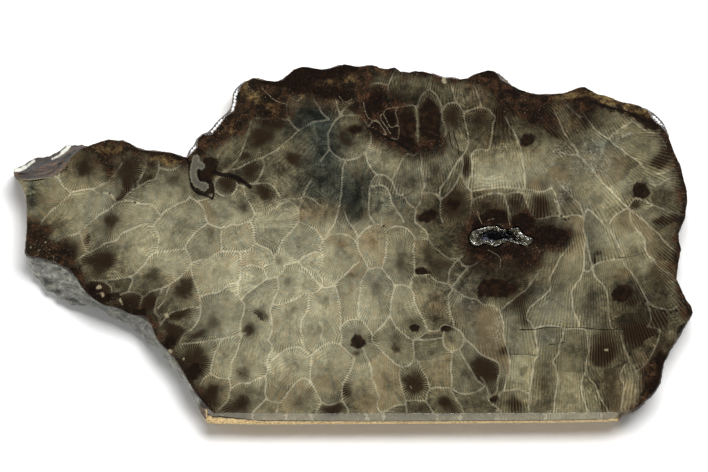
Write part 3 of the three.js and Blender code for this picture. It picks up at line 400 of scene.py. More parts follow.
# Soft and hard patches of colour: (x, y, half width, half height, turn in degrees, strength), by colour.
PATCHES = {
    "pale": [
        (444, 192, 12, 10, 0, 0.5), (480, 366, 22, 14, 0, 0.45), (468, 384, 14, 10, 0, 0.5),
        (348, 138, 4, 4, 0, 0.6), (252, 128, 14, 6, 20, 0.3), (516, 336, 12, 10, 0, 0.4),
        (564, 312, 12, 10, 0, 0.4), (252, 168, 10, 8, 0, 0.5), (324, 168, 8, 8, 0, 0.25),
        (420, 192, 10, 8, 0, 0.35), (444, 144, 8, 8, 0, 0.4), (108, 216, 10, 8, 0, 0.4),
        (108, 240, 10, 8, 0, 0.4), (348, 216, 8, 8, 0, 0.35), (468, 216, 8, 8, 0, 0.3),
        (660, 216, 8, 8, 0, 0.3), (300, 315, 95, 70, 0, 0.75), (205, 270, 70, 60, 30, 0.5),
        (300, 245, 60, 30, 0, 0.5), (499, 178, 26, 15, 0, 0.7), (150, 210, 50, 18, 30, 0.3),
        (420, 165, 12, 10, 0, 0.35), (395, 270, 22, 25, 0, 0.3), (470, 270, 18, 10, 0, 0.3),
        (515, 365, 10, 25, 0, 0.45), (600, 175, 30, 15, -45, 0.3), (215, 225, 20, 10, 0, 0.35),
        (358, 300, 16, 40, 0, 0.4), (640, 270, 6, 25, -20, 0.3), (508, 316, 7, 13, 0, 0.6),
        (260, 147, 12, 4, 30, 0.6), (280, 132, 14, 3, 30, 0.6), (395, 150, 22, 6, -20, 0.4),
        (55, 180, 20, 4, 5, 0.35), (130, 190, 9, 4, 35, 0.3), (655, 150, 18, 14, 30, 0.3),
        (208, 240, 14, 10, 0, 0.4), (207, 328, 12, 18, 0, 0.6), (108, 200, 16, 12, 0, 0.3),
        (550, 312, 20, 14, 0, 0.5), (625, 238, 24, 10, 0, 0.5), (655, 212, 18, 10, 0, 0.5),
        (446, 155, 9, 20, 0, 0.6), (470, 352, 14, 10, 0, 0.5), (420, 362, 22, 8, 0, 0.4),
        (512, 358, 10, 18, 0, 0.5), (500, 375, 8, 8, 0, 0.4), (372, 162, 10, 12, 0, 0.4),
        (350, 222, 12, 8, 0, 0.4), (425, 222, 12, 6, 0, 0.4), (110, 210, 10, 6, 0, 0.4),
        (90, 244, 10, 4, 0, 0.4), (156, 290, 12, 5, 0, 0.4), (208, 384, 6, 4, 0, 0.4),
        (535, 340, 8, 16, 0, 0.4), (604, 238, 8, 14, 0, 0.4),
    ],
    "olive": [
        (640, 250, 60, 60, 0, 0.3), (560, 370, 60, 50, 0, 0.4), (440, 370, 60, 40, 0, 0.45),
        (620, 140, 60, 30, -30, 0.4), (440, 240, 20, 16, 0, 0.45), (592, 385, 10, 14, 0, 0.5),
        (268, 136, 22, 12, 30, 0.3), (55, 224, 16, 10, 35, 0.4), (562, 105, 20, 10, 20, 0.4),
        (538, 137, 26, 18, -45, 0.35),
    ],
    "gloom": [
        (480, 118, 40, 12, 0, 0.5), (504, 146, 20, 8, 0, 0.3), (588, 146, 12, 10, 0, 0.45),
        (564, 170, 14, 8, 0, 0.4), (612, 140, 12, 10, 0, 0.35), (612, 168, 14, 8, 0, 0.3),
        (470, 168, 12, 8, 0, 0.25), (420, 112, 58, 34, 0, 0.8), (650, 335, 32, 40, 0, 0.7),
        (606, 350, 18, 26, 0, 0.6), (250, 150, 50, 30, 35, 0.6), (545, 118, 50, 18, -20, 0.6),
        (660, 210, 20, 28, 0, 0.2), (145, 295, 40, 20, -35, 0.6), (195, 345, 26, 26, -40, 0.25),
        (440, 205, 22, 34, 0, 0.5), (480, 280, 60, 24, 0, 0.55), (500, 215, 60, 12, 0, 0.5),
        (330, 170, 40, 45, 0, 0.35), (205, 395, 20, 18, 0, 0.5), (90, 262, 26, 12, 35, 0.5),
        (570, 135, 16, 20, -30, 0.5), (435, 320, 22, 16, 0, 0.3), (620, 300, 26, 16, 0, 0.35),
        (490, 135, 26, 18, 0, 0.35), (400, 140, 30, 14, -20, 0.4), (280, 165, 26, 18, 0, 0.35),
        (250, 195, 26, 10, 0, 0.3), (445, 170, 20, 18, 0, 0.3), (80, 168, 30, 14, 0, 0.4),
        (130, 172, 20, 14, 0, 0.4), (310, 400, 60, 12, 0, 0.2), (440, 400, 40, 12, 0, 0.3),
        (600, 130, 18, 16, 0, 0.3), (326, 106, 24, 16, 0, 0.75), (492, 122, 18, 36, 0, 0.8),
        (516, 116, 16, 18, 0, 0.6), (420, 148, 18, 9, 0, 0.8), (396, 124, 10, 20, 0, 0.5),
        (278, 116, 16, 10, 0, 0.5), (302, 140, 14, 20, 0, 0.5), (228, 170, 14, 12, 0, 0.5),
        (204, 178, 14, 18, 0, 0.5), (252, 192, 16, 10, 0, 0.45), (542, 224, 16, 16, 0, 0.7),
        (468, 250, 16, 24, 0, 0.7), (495, 268, 36, 16, 0, 0.85), (518, 268, 16, 12, 0, 0.8),
        (505, 290, 28, 16, 0, 0.8), (560, 240, 14, 10, 0, 0.5), (446, 228, 12, 24, 0, 0.5),
        (622, 314, 26, 22, 0, 0.75), (636, 340, 30, 24, 0, 0.6), (650, 364, 18, 18, 0, 0.65),
        (684, 330, 10, 30, 0, 0.5), (640, 290, 24, 14, 0, 0.5), (590, 108, 16, 10, 0, 0.5),
        (588, 125, 12, 12, 0, 0.45), (640, 190, 12, 12, 0, 0.5), (60, 240, 8, 8, 0, 0.5),
        (98, 262, 16, 10, 30, 0.45), (168, 318, 16, 14, 0, 0.5), (180, 342, 16, 14, 0, 0.45),
        (240, 350, 22, 12, 0, 0.25), (408, 270, 20, 20, 0, 0.4), (385, 336, 22, 12, 0, 0.35),
        (520, 408, 70, 8, 0, 0.4), (492, 200, 50, 14, 0, 0.4), (560, 128, 20, 12, -30, 0.35),
        (36, 180, 18, 10, 0, 0.35), (150, 172, 30, 12, 0, 0.4), (400, 100, 40, 14, 0, 0.3),
        (640, 125, 14, 10, -30, 0.4), (36, 216, 12, 14, 0, 0.3), (610, 392, 20, 16, 0, 0.4),
        (440, 262, 18, 20, 0, 0.4), (660, 280, 14, 30, 0, 0.4),
    ],
    "grey": [
        (31, 187, 5, 6, 0, 0.5), (31, 204, 6, 8, 0, 0.6), (337, 252, 7, 6, 0, 0.3),
        (378, 230, 7, 5, 0, 0.4), (376, 277, 12, 10, 0, 0.5), (356, 378, 8, 5, 0, 0.4),
        (385, 380, 5, 5, 0, 0.4), (506, 370, 4, 8, 0, 0.6), (478, 335, 22, 16, 0, 0.5),
        (468, 306, 9, 9, 0, 0.45), (600, 150, 18, 12, -40, 0.5), (590, 240, 10, 24, 0, 0.4),
        (548, 335, 12, 9, 0, 0.5), (572, 200, 26, 12, -40, 0.35), (622, 180, 20, 10, -45, 0.3),
        (150, 180, 30, 16, 20, 0.3), (100, 205, 26, 12, 25, 0.35), (178, 225, 20, 16, 0, 0.3),
        (330, 165, 30, 40, 0, 0.3), (225, 200, 20, 14, 0, 0.3), (610, 145, 14, 10, 0, 0.35),
        (663, 182, 16, 6, 10, 0.4), (545, 172, 12, 18, -20, 0.35), (300, 245, 14, 12, 0, 0.3),
        (550, 225, 22, 12, 0, 0.4), (465, 290, 26, 16, 0, 0.35), (590, 310, 10, 24, 0, 0.3),
        (545, 300, 12, 16, 30, 0.4), (400, 205, 14, 20, 0, 0.4), (90, 225, 30, 10, 35, 0.25),
        (415, 175, 12, 12, 0, 0.3),
    ],
    "slate": [
        (32, 194, 5, 12, 0, 0.7), (324, 120, 9, 9, 0, 0.5), (312, 118, 16, 14, 0, 0.7),
        (322, 180, 24, 30, 0, 0.75), (325, 118, 14, 14, 0, 0.7), (300, 128, 12, 10, 0, 0.6),
        (350, 198, 16, 22, 0, 0.8), (375, 202, 22, 16, 20, 0.65), (370, 175, 18, 16, 0, 0.5),
        (325, 135, 14, 24, 0, 0.8), (330, 150, 16, 14, 0, 0.6), (405, 190, 12, 20, 0, 0.25),
        (288, 214, 6, 12, 10, 0.3), (307, 104, 10, 12, 0, 0.5),
    ],
    "brown": [
        (150, 165, 8, 10, 0, 0.6), (123, 268, 7, 6, 0, 0.35), (55, 224, 14, 9, 35, 0.4),
        (151, 276, 9, 6, 0, 0.5), (301, 210, 4, 10, 0, 0.5), (355, 352, 4, 4, 0, 0.8),
        (373, 336, 6, 5, 0, 0.5), (330, 380, 14, 9, 0, 0.4), (397, 348, 6, 4, 0, 0.8),
        (607, 378, 14, 10, 0, 0.5), (612, 395, 10, 12, 0, 0.4), (569, 198, 8, 9, 0, 0.4),
        (533, 150, 8, 6, 0, 0.5), (490, 204, 16, 9, 0, 0.6), (460, 205, 20, 18, 0, 0.35),
        (80, 165, 20, 14, 0, 0.3), (440, 320, 14, 10, 0, 0.35), (548, 125, 20, 10, -30, 0.35),
        (665, 200, 12, 10, 0, 0.4), (480, 92, 8, 12, 0, 0.3), (630, 162, 14, 6, -30, 0.3),
        (265, 200, 14, 8, 0, 0.25), (290, 195, 16, 6, 0, 0.3), (380, 78, 16, 8, 0, 0.35),
        (650, 390, 8, 20, 20, 0.6), (545, 385, 8, 18, 0, 0.35), (470, 240, 10, 16, 0, 0.4),
        (560, 150, 10, 8, 0, 0.4),
    ],
    "orange": [
        (316, 213, 17, 9, 0, 0.25), (340, 243, 10, 5, -30, 0.5), (625, 275, 10, 5, 0, 0.4),
        (373, 240, 8, 10, 0, 0.4), (285, 380, 14, 10, 0, 0.25), (365, 402, 15, 10, 0, 0.35),
        (171, 160, 12, 4, 0, 0.5), (208, 176, 8, 3, 0, 0.9), (437, 303, 6, 10, 0, 0.35),
        (330, 216, 16, 8, 0, 0.15), (660, 270, 8, 14, 0, 0.25), (575, 122, 8, 5, 0, 0.3),
        (165, 280, 10, 5, 20, 0.3),
    ],
    "dark": [
        (85, 159, 10, 5, 0, 0.5), (86, 169, 5, 5, 0, 0.7), (40, 197, 5, 5, 0, 0.4),
        (130, 167, 12, 9, 0, 0.85), (127, 184, 4, 9, -25, 0.9), (120, 196, 4, 9, -25, 0.9),
        (148, 179, 4, 3, 0, 0.8), (137, 185, 3, 4, 0, 0.9), (112, 219, 7, 6, 0, 0.75),
        (108, 232, 5, 8, 0, 0.5), (89, 238, 5, 3, 30, 0.7), (105, 260, 11, 10, 40, 0.9),
        (90, 258, 9, 4, 0, 0.7), (96, 274, 6, 6, 0, 0.6), (72, 248, 9, 9, 0, 0.75),
        (100, 291, 12, 12, 0, 0.95), (130, 301, 13, 7, 25, 0.95), (151, 302, 8, 9, 0, 0.9),
        (152, 277, 6, 4, 0, 0.4), (172, 178, 9, 8, 0, 0.5), (187, 193, 3, 5, 0, 0.5),
        (121, 286, 7, 6, 0, 0.4), (181, 290, 11, 10, 0, 0.6), (187, 290, 6, 8, 0, 0.7),
        (178, 313, 14, 6, 0, 0.85), (173, 332, 11, 10, 0, 0.9), (194, 361, 14, 15, 0, 0.95),
        (213, 322, 6, 7, 0, 0.5), (199, 335, 8, 3, 20, 0.8), (258, 316, 8, 7, 0, 0.85),
        (248, 329, 6, 7, 0, 0.8), (215, 388, 5, 6, 0, 0.8), (208, 399, 11, 9, 0, 0.8),
        (243, 374, 6, 6, 0, 0.6), (251, 391, 5, 4, 0, 0.5), (243, 402, 7, 7, 0, 0.8),
        (230, 408, 12, 4, 10, 0.7), (212, 234, 4, 5, 0, 0.4), (258, 270, 5, 4, 0, 0.35),
        (268, 249, 6, 5, 0, 0.35), (277, 259, 4, 5, 0, 0.4), (269, 281, 5, 3, 0, 0.35),
        (289, 281, 4, 3, 0, 0.35), (352, 277, 5, 3, 0, 0.5), (377, 286, 5, 4, 0, 0.4),
        (326, 301, 5, 3, 0, 0.4), (296, 307, 5, 4, 0, 0.4), (347, 391, 6, 7, 0, 0.75),
        (300, 402, 9, 7, 0, 0.45), (309, 392, 6, 6, 0, 0.4), (333, 409, 12, 5, 0, 0.9),
        (440, 265, 10, 6, 0, 0.6), (428, 252, 5, 5, 0, 0.5), (401, 264, 6, 5, 0, 0.5),
        (400, 243, 8, 7, 0, 0.35), (436, 315, 8, 12, 0, 0.4), (414, 322, 12, 8, 0, 0.5),
        (396, 339, 6, 2, 0, 0.5), (415, 384, 10, 9, 0, 0.95), (415, 384, 15, 13, 0, 0.4),
        (480, 365, 8, 8, 0, 0.9), (488, 372, 11, 12, 0, 0.9), (447, 404, 9, 5, -15, 0.9),
        (452, 412, 12, 4, 0, 0.5), (504, 352, 4, 3, 0, 0.6), (501, 386, 5, 3, 0, 0.6),
        (516, 404, 8, 9, 0, 0.75), (520, 300, 9, 9, 0, 0.6), (525, 320, 6, 8, 0, 0.6),
        (420, 409, 12, 6, 0, 0.5), (632, 302, 8, 4, 25, 0.8), (637, 333, 13, 10, 0, 0.85),
        (660, 319, 17, 9, 0, 0.75), (603, 346, 14, 13, 0, 0.85), (600, 359, 9, 8, 0, 0.85),
        (605, 405, 6, 6, 0, 0.5), (592, 300, 9, 14, 0, 0.5), (595, 318, 12, 8, 0, 0.4),
        (658, 348, 4, 4, 0, 0.7), (666, 258, 10, 10, 0, 0.6), (658, 272, 12, 14, 0, 0.45),
        (675, 222, 14, 8, 0, 0.7), (660, 221, 6, 4, 0, 0.8), (598, 254, 4, 1.5, 0, 0.8),
        (594, 262, 1.5, 4, 0, 0.8), (543, 385, 6, 14, 0, 0.35), (635, 205, 7, 4, 0, 0.8),
        (660, 163, 7, 5, 0, 0.8), (668, 152, 7, 8, 0, 0.6), (652, 126, 8, 5, 0, 0.5),
        (585, 120, 5, 8, 0, 0.6), (540, 113, 18, 9, 0, 0.6), (553, 134, 8, 3.5, -40, 0.7),
        (590, 106, 8, 8, 0, 0.5), (390, 120, 5, 9, 0, 0.9), (353, 108, 6, 5, 0, 0.9),
        (452, 116, 10, 11, 0, 0.8), (478, 117, 12, 9, 0, 0.6), (499, 116, 6, 7, 0, 0.85),
        (503, 130, 8, 14, 0, 0.45), (467, 164, 4.5, 9, 0, 0.85), (452, 200, 11, 17, 0, 0.8),
        (516, 202, 8, 6, 0, 0.5), (541, 206, 8, 12, 0, 0.85), (341, 137, 3, 6, 0, 0.75),
        (347, 145, 6, 3, 0, 0.75), (351, 130, 6, 3, 0, 0.6), (356, 128, 6, 4, 30, 0.9),
        (262, 138, 11, 9, 30, 0.9), (278, 124, 10, 4, 10, 0.7), (246, 158, 5, 4, 0, 0.8),
        (252, 171, 8, 7, 0, 0.8), (293, 160, 8, 8, 0, 0.9), (283, 170, 5, 7, 0, 0.5),
        (228, 186, 8, 8, 0, 0.85), (263, 193, 8, 5, -30, 0.8), (246, 207, 4, 5, 0, 0.6),
        (376, 134, 10, 3.5, -20, 0.8), (398, 143, 12, 3.5, -28, 0.8), (412, 151, 7, 4, -30, 0.7),
        (265, 120, 14, 4, 0, 0.4), (380, 92, 8, 6, 0, 0.6), (322, 205, 14, 3, 0, 0.25),
        (35, 168, 20, 5, 12, 0.35), (435, 232, 8, 4, -30, 0.35), (490, 138, 5, 10, 0, 0.4),
        (440, 168, 5, 16, 25, 0.25), (560, 240, 6, 8, 0, 0.6), (585, 100, 10, 6, 10, 0.4),
        (213, 140, 10, 8, 0, 0.4), (395, 95, 5, 6, 0, 0.4), (575, 235, 8, 4, 0, 0.4),
        (650, 330, 14, 6, 0, 0.4), (300, 175, 5, 10, 30, 0.3),
    ],
    "pit": [
        (357, 340, 8, 7, 0, 0.95), (423, 271, 9, 5, -15, 1), (427, 216, 12, 5, 20, 1),
        (495, 288, 24, 11, 0, 1), (414, 331, 5, 5.5, 0, 1), (446, 328, 8, 4, -15, 1),
        (495, 400, 5, 4, 0, 1), (622, 293, 10, 8, 0, 0.9), (640, 189, 9, 9, 0, 1),
        (407, 125, 9, 17, 0, 0.95), (430, 121, 11, 22, 0, 1), (375, 103, 9, 13, 0, 1),
        (528, 138, 9, 6.5, 50, 0.95), (453, 204, 6, 4, 0, 0.9), (357, 129, 7, 4, 20, 0.9),
    ],
    "umber": [
        (324, 98, 10, 10, 0, 0.5), (396, 122, 10, 12, 0, 0.6), (420, 146, 10, 6, 0, 0.6),
        (636, 193, 8, 8, 0, 0.5), (492, 124, 14, 22, 0, 0.6), (588, 168, 14, 12, 0, 0.35),
        (646, 197, 16, 9, 0, 0.5), (420, 145, 20, 8, 0, 0.5), (266, 116, 26, 8, 10, 0.25),
        (560, 98, 14, 10, 0, 0.4), (470, 96, 14, 16, 0, 0.4), (680, 230, 8, 24, 0, 0.4),
        (660, 345, 18, 14, 0, 0.4), (636, 322, 24, 8, 0, 0.35), (108, 152, 22, 6, 0, 0.4),
        (30, 176, 12, 3, 0, 0.3), (500, 262, 30, 12, 0, 0.8), (516, 276, 18, 14, 0, 0.75),
        (478, 264, 14, 9, 0, 0.65), (468, 232, 9, 14, 0, 0.6), (455, 212, 12, 22, 0, 0.5),
        (500, 203, 42, 9, 0, 0.45), (542, 215, 16, 12, 0, 0.65), (326, 98, 18, 14, 0, 0.8),
        (350, 112, 16, 10, 0, 0.4), (492, 104, 22, 20, 0, 0.6), (588, 112, 10, 20, 15, 0.6),
        (396, 116, 30, 24, 0, 0.6), (250, 130, 34, 12, 25, 0.3), (238, 168, 20, 12, 0, 0.15),
        (222, 178, 16, 16, 0, 0.4), (640, 345, 20, 20, 0, 0.4), (664, 352, 16, 18, 0, 0.5),
        (620, 352, 14, 16, 0, 0.35), (495, 290, 30, 14, 0, 0.5), (560, 242, 14, 8, 0, 0.5),
        (470, 250, 18, 8, 0, 0.5), (300, 84, 40, 14, 0, 0.5), (90, 166, 26, 10, 0, 0.35),
        (100, 268, 26, 12, 35, 0.3),
    ],
    # the darkest brown crust; the patches on the edge at the lower right, x 640 to 690, are painted shade
    "deep": [
        (84, 145, 9, 3, 0, 0.7), (497, 218, 10, 6, 0, 0.7), (524, 222, 9, 7, 0, 0.7),
        (548, 232, 9, 7, 0, 0.7), (394, 120, 16, 12, 20, 0.6), (350, 68, 12, 4, 0, 0.6),
        (24, 183, 3, 3, 0, 0.3), (38, 196, 5, 9, 0, 0.45), (686, 340, 5, 16, 0, 0.6),
        (661, 366, 7, 10, 0, 0.5), (641, 408, 7, 9, 0, 0.6), (310, 68, 26, 3, 0, 0.9),
        (418, 68, 16, 3, 0, 0.8), (492, 69, 18, 3, 0, 0.9), (560, 92, 12, 2.5, 0, 0.7),
        (252, 92, 5, 3, 0, 0.5), (202, 180, 10, 18, -20, 1), (236, 179, 9, 3, -25, 0.9),
        (587, 100, 8, 10, 0, 0.3), (492, 74, 12, 5, 0, 0.9), (326, 92, 14, 7, 0, 0.8),
        (318, 72, 22, 7, 0, 0.7), (420, 73, 12, 4, 0, 0.6), (684, 335, 8, 12, 0, 0.7),
        (662, 358, 10, 8, 0, 0.7), (655, 386, 8, 14, -20, 0.6), (211, 166, 8, 8, 0, 1),
        (208, 190, 5, 5, 0, 1), (495, 217, 13, 7, 0, 1), (478, 228, 7, 9, 0, 0.9), (523, 222, 11, 9, 0, 1),
        (546, 236, 24, 8, 10, 0.95), (484, 250, 16, 5, 0, 0.9), (512, 250, 16, 6, 0, 0.8),
        (520, 262, 8, 8, 0, 0.6), (272, 80, 14, 5, 0, 1), (290, 76, 16, 8, 20, 0.95),
        (300, 86, 14, 8, 0, 0.9), (345, 96, 10, 6, 0, 1), (264, 100, 9, 7, 0, 0.5),
        (376, 102, 8, 12, 0, 0.8), (335, 74, 24, 6, 0, 0.6), (255, 117, 18, 4, 0, 0.45),
        (223, 122, 5, 10, -30, 0.35), (640, 118, 14, 4, -28, 1), (652, 124, 8, 6, -30, 1),
        (612, 109, 16, 3, -18, 0.8), (585, 118, 5, 9, 15, 0.5), (540, 92, 14, 4, 0, 0.7),
        (512, 94, 12, 5, -20, 0.6), (690, 225, 5, 30, 0, 0.5), (660, 385, 8, 16, -30, 0.4),
        (170, 342, 7, 9, -30, 0.8), (193, 372, 8, 12, -30, 0.8), (112, 297, 10, 5, 20, 0.8),
        (140, 312, 9, 5, 20, 0.8), (36, 236, 7, 8, 0, 0.6), (75, 270, 10, 5, 40, 0.6),
        (92, 288, 6, 6, 0, 0.7), (120, 150, 10, 3, 0, 0.4), (405, 140, 14, 4, -25, 0.9),
        (387, 122, 6, 9, 0, 0.6), (395, 100, 8, 5, 0, 0.4), (470, 80, 12, 3, -10, 0.6),
        (488, 72, 10, 3, 0, 0.7),
    ],
    "ochre": [
        (245, 90, 9, 9, 0, 0.45), (257, 97, 9, 8, -30, 0.5), (275, 106, 14, 7, -10, 0.45),
        (330, 84, 16, 9, 0, 0.35), (352, 76, 10, 10, 0, 0.45), (563, 97, 10, 5, 0, 0.6),
        (580, 94, 16, 4, 5, 0.5), (556, 104, 5, 7, 0, 0.5), (606, 99, 16, 5, -12, 1.0),
        (628, 106, 16, 5, -22, 0.9), (645, 113, 8, 4, -30, 0.7), (75, 160, 12, 5, 10, 0.5),
        (104, 147, 12, 6, 0, 0.5), (118, 150, 10, 6, 0, 0.35), (165, 160, 16, 5, -5, 0.7),
        (40, 170, 22, 4, 10, 0.6), (100, 168, 6, 6, 0, 0.4), (468, 90, 8, 10, 0, 0.4),
        (500, 96, 14, 6, -20, 0.3), (486, 250, 10, 4, 0, 0.15), (380, 74, 12, 5, 0, 0.4),
        (430, 82, 10, 5, 0, 0.3), (672, 160, 5, 16, 0, 0.3), (683, 225, 6, 20, 0, 0.3),
        (200, 150, 6, 8, 0, 0.3), (228, 130, 9, 9, 0, 0.35), (300, 96, 10, 4, 20, 0.5),
        (655, 370, 10, 14, 0, 0.3),
    ],
}

# Small round marks along the walls and in the corallites: (x, y, radius). These are dark, the next ones pale.
DOTS = [
    (101, 193, 1.2), (109.5, 193.5, 1.2), (135, 202, 1.2), (108, 181, 1.2), (131, 191, 1.2), (135, 188, 1.2),
    (561, 216, 1.1), (563.5, 219, 1.1), (566, 220, 1.1), (569, 219, 1.1), (571.5, 217, 1.1), (574, 219, 1.1),
    (650, 306, 1.3), (654, 308, 1.3), (658, 309, 1.3), (662, 311, 1.3), (666, 311, 1.3), (671, 312, 1.3),
    (676, 311, 1.3), (681, 311, 1.3), (384, 226, 1.3),
]
PALE_DOTS_AND_GLINTS = [
    # the first three, by the top edge, are painted glints
    (443, 79.5, 3.0), (445, 82.5, 2.2), (453.5, 79, 2.0), (100, 287, 2.5), (101, 294, 1.6), (121, 303, 2.2),
    (169, 314, 2.6), (172, 350, 2.4), (183, 360, 1.7), (604, 348, 1.8), (27, 238, 1.2), (30, 246, 1.4),
    (42, 236, 1.2), (45, 243, 1.4), (34, 240, 1.2), (38, 249, 1.4), (37, 254, 1.2), (56, 249, 1.2),
    (50, 252, 1.3), (53, 257, 1.2), (416, 383, 1.4), (412, 386, 1.1),
]

# Patches of clear calcite with fine pale flecks: (x, y, half width, half height).
FLECKED = [
    (592, 164, 26, 14), (622, 136, 12, 9), (566, 188, 10, 8), (560, 150, 10, 10), (125, 246, 5, 5),
    (168, 264, 6, 5), (82, 207, 5, 4), (239, 234, 6, 5), (353, 283, 5, 4), (374, 278, 6, 4),
    (300, 248, 8, 6), (268, 226, 4, 4), (204, 264, 6, 6), (590, 152, 14, 8), (548, 338, 10, 6),
    (470, 304, 8, 6), (498, 330, 6, 20), (560, 198, 8, 8), (372, 230, 8, 4), (478, 240, 6, 4),
    (286, 210, 6, 8),
]

# Cracks and filled fissures in the polished face: half width in millimetres, and the line.
CRACKS = [
    (0.09, [(520, 329.7), (534, 329.5), (549, 327), (564, 328), (579, 327.5), (600, 329.5), (623, 329.7)]),
    (0.08, [(549, 344.5), (556, 344), (564, 342.3)]), (0.08, [(510, 354), (524, 354.5), (537, 355.5)]),
    (0.08, [(395, 199), (401, 197), (407, 195), (412, 192)]),
    (0.12, [(453, 130), (455, 138), (458, 146), (459, 154)]), (0.12, [(449, 132), (450, 140), (453, 148)]),
    (0.08, [(620, 258), (634, 256), (646, 252)]),
    (0.3, [
        (172, 153.5), (181, 156), (187, 159.5), (189.3, 165), (189.7, 175), (191.5, 184.5), (195, 191),
        (201, 194), (208, 196.5), (212.5, 199),
    ]),
    (0.3, [(197.5, 166), (199, 173), (199.4, 178), (204, 181.2), (211.5, 183), (213.5, 190), (213, 197)]),
    (0.5, [(214, 172), (222, 174.7), (231, 175.6), (240, 179), (250, 187)]),
    (0.28, [(590, 101), (602, 105), (612, 108), (625, 111), (636, 116), (646, 121)]),
    (0.16, [(14, 178), (24, 181), (38, 180), (52, 177), (60, 173), (68, 167)]),
    (0.3, [(368, 128), (378, 133), (388, 138), (398, 143), (410, 150)]),
]

# The grey worm-shaped filling of the fissure at the notch, written as the cracks are.
WORM = [
    (0.95, [(196, 158), (195, 163), (193.6, 169), (193.4, 175), (194.6, 180), (198, 184.5), (203.5, 186.6)]),
    (1.0, [(199, 165), (201.5, 166)]),
    (1.2, [(202.5, 186.2), (204, 186.6)]),
]

# Lines on the side of the lobe's tip, written as the cracks are: first the white ones, painted highlights on
# the layers' edges, then the dark ones, painted shade along the layers.
STREAK_HIGHLIGHTS = [
    (0.5, [(15, 170), (19, 169.5), (24, 167)]),
    (0.36, [(22, 168), (28, 164.5), (33, 160.5)]),
    (0.24, [(52, 158.5), (58, 155.5), (63, 152)]),
    (0.5, [(62, 152), (66, 148.5), (68.5, 144.5)]),
]
# near-black lines of painted shade along the tip's layers
LAYER_SHADOWS = [
    (0.4, [(21, 173), (27, 171.5), (34, 167), (42, 163.5), (50, 161.5), (60, 159), (72, 153), (82, 149)]),
    (0.16, [(24, 176.5), (34, 176.5), (46, 174.5), (55, 170), (61, 163), (70, 158), (80, 152)]),
    (0.14, [(34, 173), (44, 171.5), (53, 167), (60, 162)]),
]

# Thin pale seams between broken pieces; the first one, by the hollow, is a painted glint.
SEAMS_AND_GLINT = [
    # a painted glint
    [(487.5, 220.5), (491, 219.3), (495, 218.5)],
    [(509, 204), (508, 211), (508.5, 218), (510, 225)],
    [(477.5, 211), (479.5, 218), (482, 224)],
    [(383, 113.5), (387, 109), (400, 107), (414, 105.5), (416, 112)],
    [(383, 113.5), (386, 119), (390.5, 127), (397, 125), (398, 121), (395.7, 113.5), (396.5, 109)],
    [(399, 126), (399, 132.5), (397.5, 139), (390.5, 138)],
    [(383, 113.5), (380.5, 118), (390.5, 133.5)],
    [(369, 128), (386, 135), (382, 127), (376, 120), (369, 128)],
    [(363.5, 102), (365, 110), (368.5, 118), (377, 122)],
    [(488, 250), (494, 253), (500, 258), (500, 268)],
    [(262, 88), (268, 94), (276, 101), (286, 104)],
    [(246, 82), (250, 88), (258, 96)],
    [(339, 96), (345, 102), (352, 99)],
]

# Brown iron-stained crust, as outlines.
CRUSTS = {
    "crown": [
        (183, 158), (190, 146), (199, 134), (213, 122), (226, 111), (229, 98), (235, 84), (250, 72),
        (270, 75), (285, 71), (300, 60), (345, 58), (362, 62), (372, 70), (366, 84), (360, 92), (352, 98),
        (343, 100), (336, 94), (326, 96), (318, 93), (312, 95), (309, 88), (303, 94), (297, 99), (290, 96),
        (287, 104), (287, 114), (270, 118), (252, 118), (243, 130), (228, 137), (216, 143), (208, 150),
        (203, 157), (192, 157), (186, 160),
    ],
    "lobe": [
        (10, 172), (26, 170), (45, 166), (60, 160), (68, 153), (78, 151), (88, 152), (96, 156), (103, 166),
        (110, 174), (113, 166), (110, 158), (118, 156), (130, 154), (146, 156), (156, 160), (170, 161),
        (186, 166), (192, 160), (188, 150), (150, 142), (130, 134), (110, 131), (90, 138), (70, 138),
        (50, 148), (30, 156), (10, 160),
    ],
    "top": [
        (455, 70), (488, 60), (512, 74), (525, 84), (550, 86), (578, 80), (600, 88), (630, 96), (655, 106),
        (664, 118), (655, 126), (645, 120), (625, 112), (606, 106), (595, 104), (588, 112), (578, 110),
        (566, 102), (552, 104), (545, 110), (552, 122), (540, 124), (524, 116), (508, 110), (496, 98),
        (486, 86), (470, 82),
    ],
    "edge": [
        (366, 58), (395, 60), (425, 62), (455, 70), (470, 82), (456, 81), (440, 79), (425, 75), (405, 73),
        (390, 72), (372, 72),
    ],
    "end": [
        (658, 120), (672, 132), (684, 165), (692, 200), (690, 240), (686, 290), (700, 312), (692, 322),
        (684, 306), (678, 290), (674, 262), (677, 235), (680, 215), (680, 195), (676, 172), (668, 150),
        (660, 134),
    ],
    "corner": [
        (676, 348), (664, 358), (652, 362), (644, 372), (643, 384), (640, 398), (634, 410), (646, 406),
        (658, 394), (666, 376),
    ],
    "left": [
        (22, 222), (38, 224), (48, 230), (52, 241), (62, 243), (70, 253), (76, 266), (86, 279), (92, 291),
        (88, 296), (76, 282), (66, 272), (52, 266), (22, 258),
    ],
    "shoulder": [
        (92, 287), (100, 296), (110, 303), (122, 305), (134, 309), (148, 315), (156, 328), (163, 340),
        (172, 350), (182, 364), (192, 382), (203, 398), (214, 412), (206, 414), (192, 398), (180, 376),
        (164, 354), (150, 334), (140, 320), (110, 312), (92, 300),
    ],
    "middle": [
        (352, 92), (364, 86), (380, 90), (392, 98), (404, 104), (398, 112), (396, 126), (404, 142),
        (420, 143), (438, 138), (444, 144), (424, 152), (404, 150), (386, 142), (372, 134), (364, 118),
        (358, 106),
    ],
    "hollow": [
        (464, 232), (470, 220), (480, 213), (492, 212), (503, 214), (511, 222), (520, 213), (530, 214),
        (540, 225), (551, 223), (558, 231), (570, 237), (562, 246), (546, 251), (540, 261), (526, 267),
        (520, 258), (500, 257), (480, 261), (469, 254), (466, 243),
    ],
}


# ---------------------------------------------------------------- small helpers

CURVE_PARTS = 12  # a smooth curve is worked out at this many places between two given points
OUTSIDE = -3.0  # the depth, in millimetres, of a place that isn't near a mark
TINY = 1e-9


